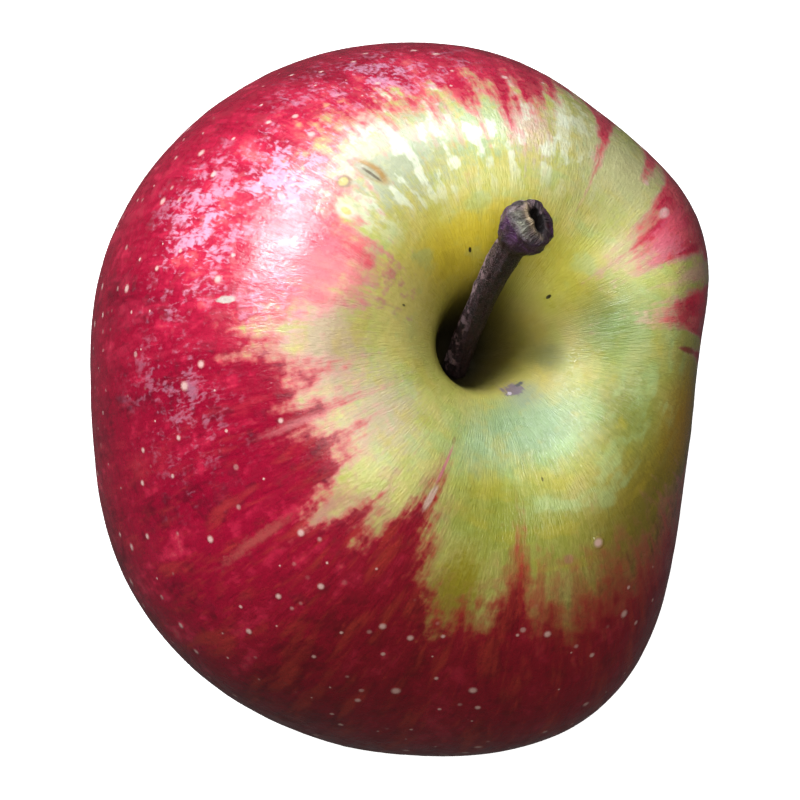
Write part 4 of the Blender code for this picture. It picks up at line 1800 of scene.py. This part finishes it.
@dataclass(frozen=True)
class Studio:
    """The pale floor, the soft lights and the camera at the photo's viewing angle."""

    floor_size: float = 3.0
    backdrop_radius: float = 2.0
    floor_colour: Colour = (0.95, 0.95, 0.95)
    floor_glow: float = 1.0
    ambient: float = 0.08
    lamps: tuple[Lamp, ...] = (
        Lamp("key", (-0.80, -0.42, 0.60), 0.26, 0.165, 0.075, 0.78, (0.88, 0.95, 1.0)),
        Lamp("top", (-0.15, -0.3, 1.0), 0.42, 0.3, 0.3, 0.84, (1.0, 0.95, 0.84)),
        Lamp("window", (-0.89, 0.17, 0.42), 0.5, 0.75, 0.18, 2.8, (0.96, 0.93, 1.0), only_gloss=True),
    )
    tilt: float = 19.5
    roll: float = 22.3
    distance: float = 0.300
    lens: float = 117.3
    sensor: float = 36.0
    aim_right: float = -0.00338
    aim_up: float = -0.00308

    def axes(self) -> tuple[Vector, Vector, Vector]:
        """The picture's right, its up and the direction back to the camera, in the part's frame."""
        tilt, roll = math.radians(self.tilt), math.radians(self.roll)
        right = Vector((math.sin(roll), math.cos(roll) * math.cos(tilt), math.cos(roll) * math.sin(tilt)))
        up = Vector((-math.cos(roll), math.sin(roll) * math.cos(tilt), math.sin(roll) * math.sin(tilt)))
        back = Vector((0.0, -math.sin(tilt), math.cos(tilt)))
        return right, up, back

    def place_camera(self, form: Form) -> bpy.types.Object:
        """Set up the camera.

        Args:
            form: The fruit's sizes, for the point that the camera was measured from.

        Returns:
            The camera.
        """
        right, up, back = self.axes()
        core = Vector(form.core)
        eye = core + back * self.distance
        target = core + right * self.aim_right + up * self.aim_up
        backwards = (eye - target).normalized()
        sideways = (right - backwards * right.dot(backwards)).normalized()
        upwards = backwards.cross(sideways)
        data = bpy.data.cameras.new("camera")
        data.lens = self.lens
        data.sensor_width = self.sensor
        data.clip_start = 0.01
        data.clip_end = 20.0
        camera = bpy.data.objects.new("camera", data)
        turned = Matrix((sideways, upwards, backwards)).transposed().to_4x4()
        camera.matrix_world = Matrix.Translation(eye) @ turned
        bpy.context.scene.collection.objects.link(camera)
        bpy.context.scene.camera = camera
        return camera

    def backing(self) -> bpy.types.Material:
        """The plain pale finish of the floor and the backdrop."""
        material = bpy.data.materials.new("backing")
        material.use_nodes = True
        shader = material.node_tree.nodes["Principled BSDF"]
        shader.inputs["Base Color"].default_value = (*self.floor_colour, 1.0)
        shader.inputs["Roughness"].default_value = 0.9
        shader.inputs["Emission Color"].default_value = (1.0, 1.0, 1.0, 1.0)
        shader.inputs["Emission Strength"].default_value = self.floor_glow
        return material

    def lay_floor(self) -> None:
        """Lay the pale floor and set the round backdrop, which aren't part of the object."""
        half = self.floor_size / 2
        corners = [(-half, -half, 0), (half, -half, 0), (half, half, 0), (-half, half, 0)]
        floor = bpy.data.meshes.new("floor")
        floor.from_pydata(corners, [], [(0, 1, 2, 3)])
        shell = bmesh.new()
        bmesh.ops.create_uvsphere(shell, u_segments=48, v_segments=24, radius=self.backdrop_radius)
        bmesh.ops.reverse_faces(shell, faces=shell.faces)
        material = self.backing()
        for mesh in (floor, mesh_of(shell, "backdrop")):
            mesh.materials.append(material)
            stage = link(mesh.name, mesh)
            stage.visible_diffuse = False
            stage.visible_glossy = False
            stage.visible_shadow = mesh is floor

    def build(self, form: Form) -> None:
        """Build the studio round the fruit.

        Args:
            form: The fruit's sizes.
        """
        scene = bpy.context.scene
        world = bpy.data.worlds.new("studio")
        world.use_nodes = True
        background = world.node_tree.nodes["Background"]
        background.inputs["Color"].default_value = (1.0, 1.0, 1.0, 1.0)
        background.inputs["Strength"].default_value = self.ambient
        scene.world = world
        scene.view_settings.view_transform = "Standard"
        self.lay_floor()
        for lamp in self.lamps:
            lamp.hang(Vector(form.core))
        self.place_camera(form)


def plain(box: tuple[Vector, Vector]) -> list[list[float]]:
    """A box as plain lists of numbers."""
    return [list(corner) for corner in box]


def main() -> None:
    """Build each piece in order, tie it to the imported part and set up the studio."""
    logging.basicConfig(level=logging.INFO, format="%(name)s %(message)s")
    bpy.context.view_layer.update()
    form = Form()
    finish = SkinFinish()
    colours = SkinPainter(form, finish).draw()
    skin = Skin(form)
    hand_over(skin.build(finish.material(colours)), Slot.SKIN, "apple")
    hand_over(Pores().build(skin, finish.pore_material(colours)), Slot.SKIN)
    hand_over(Stem().build(form, skin, StemFinish().material()), Slot.STEM, "stem")
    hand_over(Calyx().build(form, skin, CalyxFinish().material()), Slot.CALYX, "calyx")
    Studio().build(form)


if __name__ == "__main__":
    main()
